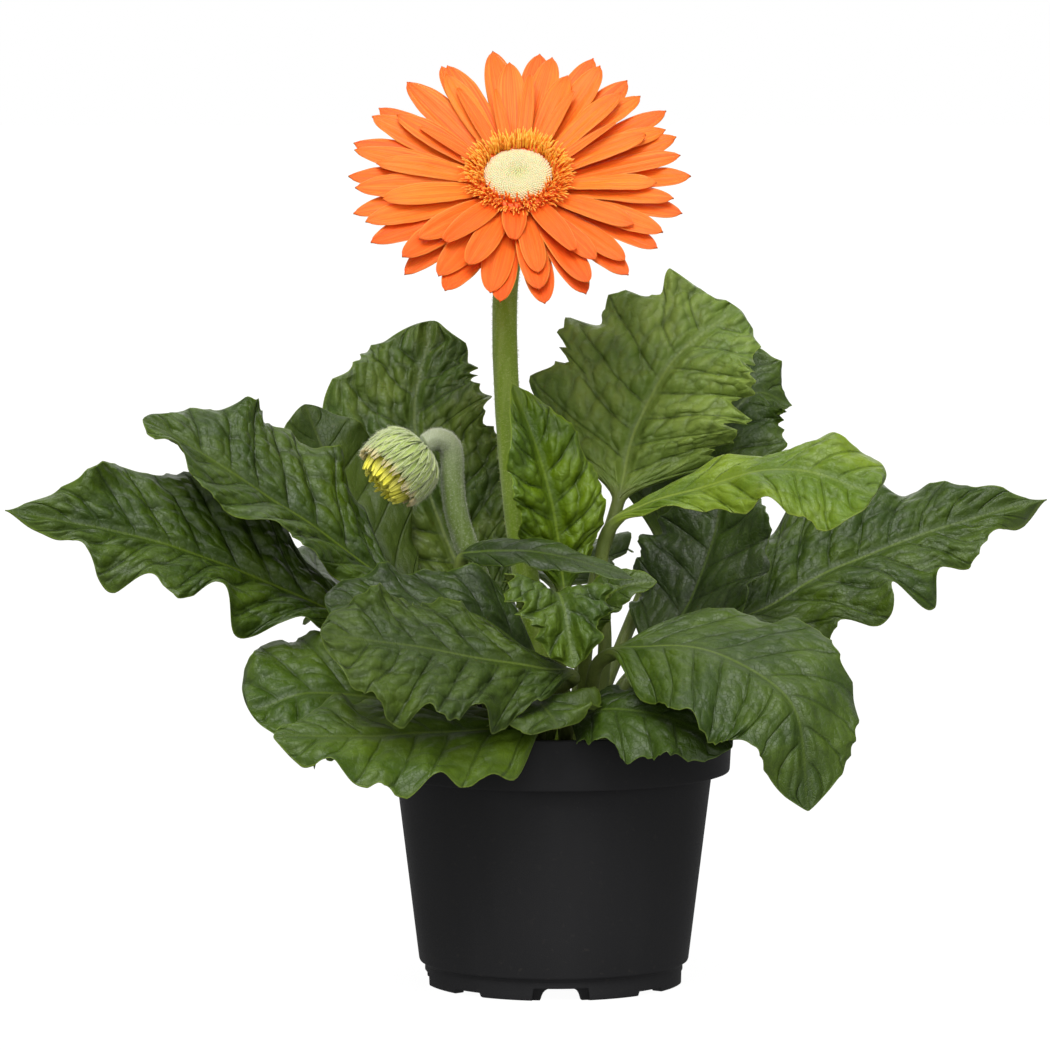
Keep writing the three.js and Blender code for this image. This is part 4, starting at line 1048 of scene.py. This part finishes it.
def petal_layer(layer, row, chance, rng):
    """One layer. A petal widens as a sine from its claw to its widest place, then closes as
    an ellipse; two grooves run along it, the end is cut back towards its margins
    and notched, and the strap arches up, rolls, sways and curls a little by chance."""
    v, c = grid(36, 15)
    draws = np.array([[next(chance) for _ in range(3)] for _ in range(layer.count)])
    count, one, each = np.arange(layer.count), (layer.count, 1), (layer.count, 1, 1)
    turn = (count + 0.37 * row + (2 * draws[:, 2] - 1) * 0.08) / layer.count * TURN
    back = np.maximum(0, np.sin(turn))
    length = (layer.length - 3 * draws[:, 0] + BACK.length * back)[:, None]
    slope = layer.rise + (2 * draws[:, 1] - 1) * 0.6 + BACK.rise * back
    r = mix(CLAW, length, v)
    curl = rng.normal(0.0, 1.0, one)
    z = layer.root + np.tan(np.radians(slope))[:, None] * (r - CLAW)
    z = z + 1.6 * np.sin(0.9 * math.pi * v) * v + curl * v ** 4
    opening = mix(0.34, 1, np.sin(np.minimum(v / WIDEST, 1) * math.pi / 2))
    closing = (1 - (np.maximum(v - WIDEST, 0) / 0.362) ** 2.2) ** 0.62
    half = layer.half * np.where(v < WIDEST, opening, closing) * rng.uniform(0.98, 1.14, one)
    full = np.sin(math.pi * np.clip(v * 0.97 + 0.02, 0, 1))[..., None] ** 0.6
    groove = 0.17 * np.cos(3 * math.pi * c + rng.normal(0, 0.4, each)) * full
    wrinkle = 0.16 * ripple(c * 4 + 40 * count[:, None, None], v[..., None] * 12, 1, 9 + row)
    channel = 0.6 * np.sin(math.pi * np.minimum(1, v + 0.05))[..., None]
    notch = rng.uniform(0.0, 0.004, each)
    cut = 0.012 * c * c + notch * (1 + np.cos(3 * math.pi * c + rng.normal(0, 0.5, each)))
    rings = straps(r, z, half, turn, THICKNESS, c, channel, groove + wrinkle,
                   slide=-cut * (length[..., None] - CLAW) * v[..., None] ** 8,
                   sway=rng.normal(0, 0.9, each) * v[..., None] ** 2,
                   roll=rng.normal(0.17, 0.07, each)
                   * np.sin(math.pi * np.minimum(v + 0.1, 1))[..., None])
    return rings, petal_facts(v[..., None], c, turn, rng.uniform(0, 1, each), row / 2)


# %% Half-grown petals
# Direction in degrees, length and half width of each.
SHORT = [(-94, 31, 4.2), (-124, 41, 4.3), (-64, 42, 4.2), (30, 38, 2.2), (62, 40, 2.4),
         (84, 42, 2.6), (104, 37, 2.0), (120, 41, 2.4), (150, 38, 2.2)]
SHORT_CLAW, SHORT_THICKNESS = 11.5, 0.34


def short_petals(rng):
    """Straps between the disc and the petals that close as a sine, curl in at the tip and
    twist by chance."""
    turn, length, half = np.array(SHORT, float).T[..., None]
    turn, one, each = np.radians(turn[:, 0]), (len(SHORT), 1), (len(SHORT), 1, 1)
    v, c = grid(22, 11)
    slope = rng.uniform(8, 11, one) + 2.5 * np.maximum(0, np.sin(turn))[:, None]
    r = mix(SHORT_CLAW, length, v)
    z = -0.4 + np.tan(np.radians(slope)) * (r - SHORT_CLAW) + 1.3 * np.sin(math.pi * v) * v
    z = z + rng.uniform(-0.5, 0.8, one) * v ** 3
    half = half * np.sin(math.pi * (0.16 + 0.79 * v)) ** 0.6
    rings = straps(r, z, half, turn, SHORT_THICKNESS, c, 0.5, 0.16 * np.cos(3 * math.pi * c),
                   sway=rng.normal(0, 1.0, each) * v[..., None] ** 2,
                   roll=rng.normal(0.1, 0.15, each) * v[..., None])
    return rings, petal_facts(0.15 + 0.7 * v[..., None], c, turn, rng.uniform(0, 0.5, each), 0.6)


# %% The petals' finish
def petal_look():
    """Soft orange: redder at the claw and tip, with painted shade that reddens the grooves, the
    petals that point down the head and the lower layers, so the ridges stay yellow-orange;
    yellow-orange along the margins, paler below, with fine lengthwise streaks."""
    look = Look("orange_petal", Specular_IOR_Level=0.25, Sheen_Weight=0.04,
                Subsurface_Weight=0.25, Subsurface_Scale=0.002,
                Subsurface_Radius=(1.0, 0.35, 0.05))
    share, across, tone, front, row, below = look.read(
        "share", "across", "tone", "front", "row", "under")
    streak = look.noise(700)
    lane = look.noise_at(look.joined(across * 9 + tone * 60, share * 1.6, tone * 9), 3.0)
    thread = look.noise_at(look.joined(across * 22 + tone * 40, share * 1.3, tone * 5), 1.0)
    ridge = (across * (3 * math.pi)).math("COSINE") * 0.5 + 0.5
    rim = abs(across).step(0.86, 1.0) * share.step(0.05, 0.3)
    colour = look.coats(
        look.blend(tone, (243, 97, 10), (249, 123, 22)),
        (lane.step(0.4, 0.66) * 0.48, (252, 147, 42)),
        # Painted shade in the grooves, which leaves the ridges lighter.
        ((1 - ridge) * 0.2, (236, 84, 8)),
        (thread.step(0.5, 0.7) * 0.3, (228, 72, 10)),
        (thread.step(0.5, 0.34) * 0.3, (254, 160, 62)),
        # Painted shade: redder on petals that point down the head and on the lower layers.
        (front.step(0.55, 1.0) * 0.4 + (1 - row) * 0.22, (230, 70, 14)),
        (share.step(0.84, 1.0) * 0.22, (232, 74, 12)),
        (share.step(0.3, 0.0) * 0.7, (222, 56, 10)),
        (rim * 0.5, (254, 168, 76)),
        (below * 0.6, (242, 132, 60)))
    return look.finish(colour, 0.5, lane * 0.5 + thread * 0.5 + streak * 0.3, 0.00016)


# %% All petals and the hub they stand on
HUB = [(3, -4.9), (13.6, -4.9), (14, -4.4), (14, -1.5), (13.5, -1.0), (3, -1.0)]
rng = np.random.default_rng(12)
chance = seeded(7)
layers = [petal_layer(layer, row, chance, rng) for row, layer in enumerate(PETALS)]
layers += [short_petals(rng), (lathe(HUB, 48), {})]
piece("petals", [shell(*layer, bloom) for layer in layers], petal_look(), "orange_petal",
      "ray_florets")

# %% [markdown]
# ## Fringe and disc
# Round the disc stand some hundreds of tiny curled florets, red-orange outside and yellow
# inside, and the disc itself is packed with closed buds in the spiral that plants use: each
# bud stands 137.5 degrees on from the last, at a distance that grows with the square root of
# its number.

# %% Curled tubes
def curved_tubes(r, z, heading, turn, length, radius, curl, stations=6, corners=5):
    """Small tubes that leave the head at a lean and bend outwards: the lean grows with the
    square of the share of the length, and the place is the sum of the steps taken."""
    r, z, heading, length, radius, curl = (
        x[:, None] for x in (r, z, heading, length, radius, curl))
    s = np.linspace(0, 1, stations)[None]
    lean = heading + curl * s ** 2
    pace = length / (stations - 1)
    size = radius * (1 - 0.35 * s + 0.45 * step(s, 0.6, 0.9) * (s < 0.99) - 0.3 * (s > 0.99))
    across, out = np.cos(around(corners)), np.sin(around(corners))
    x = (r + np.cumsum(np.sin(lean) * pace, axis=1))[..., None]
    height = (z + np.cumsum(np.cos(lean) * pace, axis=1))[..., None]
    x = x + (np.cos(lean) * size)[..., None] * out
    height = height - (np.sin(lean) * size)[..., None] * out
    tubes = spun(x, -across * size[..., None], height, turn[:, None, None])
    return tubes, dict(share=s[..., None], inner=0.5 - 0.5 * out)


def bed(inner, outer, bottom, top):
    """A low closed ring of deep orange under the fringe."""
    line = np.array([(inner, bottom), (outer, bottom), (outer, bottom + 1),
                     ((inner + outer) / 2, top), (inner, top - 0.4)])
    rings = polar(line[:, 0], around(72)[:, None], line[:, 1])
    n, m = rings.shape[:2]
    i, j = np.meshgrid(np.arange(n), np.arange(m), indexing="ij")
    at = lambda i, j: i % n * m + j % m
    quads = np.stack([at(i, j), at(i + 1, j), at(i + 1, j + 1), at(i, j + 1)], -1)
    return bloom(rings.reshape(-1, 3)), quads.reshape(-1, 4), np.zeros((0, 3), int), {}


# %% The fringe
FRINGE = Sizes(count=680, inner=11.6, outer=15.6, foot=0.3, spiral=2.39996,
               leans=(-4, 52), seed=21)


def fringe_look():
    """Red-orange tubes that turn yellow towards the disc and at their tips."""
    look = Look("fringe", Specular_IOR_Level=0.4, Subsurface_Weight=0.2, Subsurface_Scale=0.001)
    share, inner, outside, rear = look.read("share", "inner", "outside", "rear")
    colour = look.coats(
        look.blend(inner * (rear * 0.5 + 0.5), (252, 120, 40), (255, 190, 54)),
        (share.step(0.65, 1.0) * 0.7, (255, 188, 78)),
        ((1 - rear * 0.8) * outside * (1 - inner) * 0.8, (236, 58, 44)),
        (share.step(0.3, 0.0) * 0.4, (246, 104, 34)))
    return look.finish(colour, 0.5, look.noise(1500, 2.0), 0.0001)


rng, count = np.random.default_rng(FRINGE.seed), FRINGE.count
ring = rng.uniform(0, 1, count)
turn = np.arange(count) * FRINGE.spiral + rng.normal(0, 0.05, count)
rear = 0.5 + 0.5 * np.sin(turn)
heading = np.radians(mix(*FRINGE.leans, ring) + rng.normal(0, 8, count))
tubes, facts = curved_tubes(
    mix(FRINGE.inner, FRINGE.outer, ring), np.full(count, FRINGE.foot), heading, turn,
    length=rng.uniform(2.6, 4.4, count) + 1.1 * rear,
    radius=rng.uniform(0.22, 0.36, count), curl=rng.uniform(-0.3, 1.2, count))
facts.update(rear=rear[:, None, None], outside=ring[:, None, None])
piece("fringe_fine",
      [shell(tubes, facts, bloom), bed(inner=11.8, outer=15, bottom=-0.6, top=1.3)],
      fringe_look(), "fringe", "fringe_florets")

# %% The disc
DISC = Sizes(count=760, radius=11.2, dome=11.3, spiral=math.radians(137.508), bottom=-0.6,
             sunk=0.35, seed=4)


def disc_height(far):
    """The disc's dome at a share of its radius: flat on top, falling at the edge, with a
    shallow dimple in the middle."""
    return 2.95 - 1.5 * far ** 7 - 0.5 * np.exp(-(far / 0.22) ** 2)


def disc_buds(count, radius):
    """Closed buds in a spiral. Each is four rings of six corners, domed at the top, smaller
    towards the middle of the disc and leaning out near its edge."""
    number = np.arange(count)
    far = np.sqrt((number + 0.5) / count)
    turn = number * DISC.spiral
    rng = np.random.default_rng(DISC.seed)
    size = mix(0.38, 0.5, far) * rng.uniform(0.88, 1.1, count)
    line = np.array([(1.0, -0.5), (1.14, 0.2), (0.9, 0.7), (0.4, 0.95)])
    rings = lathe(line, 6) * size[:, None, None, None]
    lean = polar(0.6 * far ** 3 + rng.normal(0, 0.12, count), turn, 0)[:, None, None]
    spot = polar(far * radius, turn, disc_height(far))[:, None, None]
    return rings + rings[..., 2:] * lean + spot, dict(far=far[:, None, None], share=line[:, 1:])


def disc_look():
    """Cream, velvety buds, greener in the dimple, faintly pink round the edge, with painted shade
    low between the buds.
    """
    look = Look("disc", Sheen_Weight=0.4, Specular_IOR_Level=0.25, Subsurface_Weight=0.3,
                Subsurface_Scale=0.001)
    far, share = look.read("far", "share")
    grain = look.noise(1800)
    colour = look.coats(
        look.blend(far.step(0.0, 0.45), (208, 202, 134), (219, 205, 155)),
        (far.step(0.8, 1.0) * 0.75, (236, 196, 160)),
        # Painted shade: darker and greener low on each bud, between the buds.
        (share.step(0.45, -0.3) * 0.45, (196, 186, 108)),
        (grain * 0.3, (230, 224, 190)))
    return look.finish(colour, 0.75, grain, 0.0002)


far = np.array([1.0, 1.0, 0.97, 0.9, 0.75, 0.55, 0.35, 0.2, 0.05])
level = disc_height(far) - DISC.sunk
level[0] = DISC.bottom
dome = lathe(np.stack([DISC.dome * far, level], -1), 64)
piece("disc_fine", [shell(dome, {"far": far[:, None]}, bloom),
                    shell(*disc_buds(DISC.count, DISC.radius), bloom)],
      disc_look(), "disc", "disc_florets")

# %% [markdown]
# ## Green cups
# Under the petals, and round the bud, a cup of narrow overlapping bracts holds the head
# together. The cup is a lathe and each bract a strap with a keel, laid over it in rows, and
# the bracts are hairy.

# %% A cup with rows of bracts
def bracts(line, count, first, rng, keel):
    """A row of bracts. The line gives distance, height and half width from root to tip, and
    is made smooth; each bract is shaken a little and lifts off at its tip."""
    (v, c), one, each = grid(12, 5), (count, 1), (count, 1, 1)
    r, z, half = smooth_path(line, v[0])[0].T
    r = r + 0.25 * rng.normal(0, 1, one) * v ** 3
    z = z + rng.normal(0, 0.4, one) * v
    half = np.maximum(half, 0.12) * rng.uniform(0.85, 1.1, one)
    turn = (np.arange(count) + first + rng.normal(0, 0.08, count)) / count * TURN
    rings = straps(r, z, half, turn, 0.5, c, -0.35, keel * (1 - np.abs(c)),
                   sway=rng.normal(0, 0.5, each) * v[..., None] ** 2)
    return rings, dict(share=v[..., None], across=both_sides(c), tone=rng.uniform(0, 1, each))


def bract_hairs(rows, per_row, place, length, seed, radius=0.045):
    """Hairs that stand on the outer faces of the bracts and lean towards their tips."""
    rng = np.random.default_rng(seed)
    spots, ways = [], []
    for rings in rows:
        count, n, m, _ = rings.shape
        k, i, j = (rng.integers(start, end, per_row)
                   for start, end in ((0, count), (1, n - 1), (m // 2, m)))
        here = rings[k, i, j]
        spots.append(here)
        ways.append(unit(rings[k, i + 1, j] - here) + 0.7 * unit(here * [1, 1, 0] + 1e-6)
                    + rng.normal(0, 0.25, (per_row, 3)))
    spots, ways = np.vstack(spots), np.vstack(ways)
    return hairs(place(spots), place(spots + ways) - place(spots),
                 rng.uniform(0.5, 1.3, len(spots)) * length, radius)


def cup(outline, rows, place, rng, keel, blush, per_row, length, seed, corners=64):
    """The parts of a cup: its lathe, its rows of bracts and their hairs. With a blush, the
    first row turns rosy towards its tips."""
    made = [bracts(*row, rng, keel) for row in rows]
    if blush:
        made[0][1]["blush"] = made[0][1]["share"]
    return [shell(lathe(outline, corners), place=place), *(shell(*row, place) for row in made),
            bract_hairs([rings for rings, _ in made], per_row, place, length, seed)]


# %% The cups' finish
def bract_look(name, blade, tip, hair):
    """Green that pales towards the tip, with pale margins, fine veins and pale hairs."""
    look = Look(name, Sheen_Weight=0.3, Sheen_Roughness=0.5)
    share, across, tone, blush, on_hair = look.read("share", "across", "tone", "blush", "hair")
    vein = look.noise(900, 2.0)
    colour = look.coats(
        look.blend(tone * 0.4 + share * 0.5, blade, tip),
        (abs(across).step(0.6, 1.0) * 0.5, hair),
        (vein.step(0.5, 0.8) * 0.3, hair),
        (blush.step(0.4, 0.9) * 0.75, (224, 198, 150)),
        (on_hair, hair))
    return look.finish(colour, 0.62, vein, 0.00015)


# %% The flower's cup
# Each row has its bract's line, its count and how far its first bract is moved on.
CUP = [(0.5, -18), (4.2, -18), (5.6, -16.6), (7.6, -15), (9.75, -12.7), (11.6, -10.4),
       (13, -7.9), (13.2, -6.4), (12.8, -5.5), (0.5, -5.5)]
ROWS = [([(8, -14.8, 1.5), (13.6, -10.4, 1.9), (17, -8.2, 1.3), (19.5, -7.2, 0.2)], 16, 0),
        ([(6.6, -16.2, 1.4), (11.9, -13.4, 1.8), (15.2, -11.6, 1.2), (17, -11.2, 0.2)], 14, 0.5),
        ([(5.0, -17.4, 1.2), (8.6, -16.2, 1.5), (11.6, -14.8, 1.0), (13.4, -14.6, 0.2)], 12, 0.2)]
rng = np.random.default_rng(41)
piece("flower_cup",
      cup(CUP, ROWS, bloom, rng, keel=0.35, blush=False, per_row=350, length=1.1, seed=42),
      bract_look("bract_green", (74, 102, 40), (112, 140, 62), (176, 190, 140)),
      "bract_green", "involucre")

# %% The bud's cup
BUD_CUP = [(0.5, 0), (3.6, 0), (5.2, 0.8), (7.6, 2.2), (9.4, 4), (10.9, 6.6), (11.5, 9),
           (11.5, 12.5), (11.2, 14), (0.5, 14)]
BUD_ROWS = [
    ([(11.0, 7.6, 1.2), (12.2, 11.0, 1.15), (12.2, 14.6, 0.8), (11.9, 17.2, 0.15)], 36, 0),
    ([(10.2, 4.8, 1.3), (12.3, 8.6, 1.25), (12.7, 12.4, 0.85), (12.5, 15.2, 0.15)], 34, 0.5),
    ([(8.6, 2.8, 1.3), (11.7, 5.8, 1.3), (12.8, 9.4, 0.9), (12.9, 12.4, 0.15)], 29, 0.1),
    ([(6.4, 1.2, 1.1), (9.9, 3.4, 1.2), (12.1, 6.2, 0.85), (12.9, 9.2, 0.15)], 23, 0.6),
    ([(4.2, 0.3, 1.0), (7.6, 1.4, 1.1), (10.5, 3.2, 0.8), (12.2, 5.4, 0.15)], 17, 0.3)]
piece("bud_cup",
      cup(BUD_CUP, BUD_ROWS, bud, rng, keel=0.3, blush=True, per_row=1000, length=1.7, seed=43),
      bract_look("bud_green", (132, 156, 68), (182, 196, 110), (214, 220, 182)),
      "bud_green", "bud_involucre")


# %% The bud's young florets
def bud_floret_look():
    """Greenish yellow at the root, clear yellow at the tip."""
    look = Look("bud_yellow", Specular_IOR_Level=0.4)
    share, tone = look.read("share", "tone")
    colour = look.coats(look.blend(share.step(0.1, 0.8), (172, 168, 30), (246, 238, 72)),
                        (tone * 0.5, (240, 234, 130)))
    return look.finish(colour, 0.5, look.noise(900, 2.0), 0.0001)


# Count, distance, how far the first one is moved on, and length of each ring of florets.
YOUNG_ROWS = [(30, 9.7, 0, 6.0), (24, 7.6, 0.4, 5.4), (16, 5.2, 0.1, 5.0), (9, 2.6, 0.2, 4.6)]
LID = [(0.5, 14.35), (10.4, 14.35), (10.4, 15.2), (6.5, 16.2), (0.5, 16.5)]
parts = [shell(lathe(LID, 64), place=bud)]
for count, r, first, long in YOUNG_ROWS:
    line = [(r, 14.2, 0.55), (r - 0.4, 16.4, 0.8), (r - 1.0, 18.4, 0.75),
            (r - 1.8, 14.2 + long, 0.3)]
    parts.append(shell(*bracts(line, count, first, rng, keel=0.15), bud))
piece("bud_florets_fine", parts, bud_floret_look(), "bud_yellow", "bud_florets")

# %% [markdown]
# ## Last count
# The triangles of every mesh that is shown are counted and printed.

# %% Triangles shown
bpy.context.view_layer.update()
total = sum(sum(len(p.vertices) - 2 for p in body.data.polygons)
            for body in bpy.context.scene.objects if body.type == "MESH" and not body.hide_render)
print("triangles shown:", total)
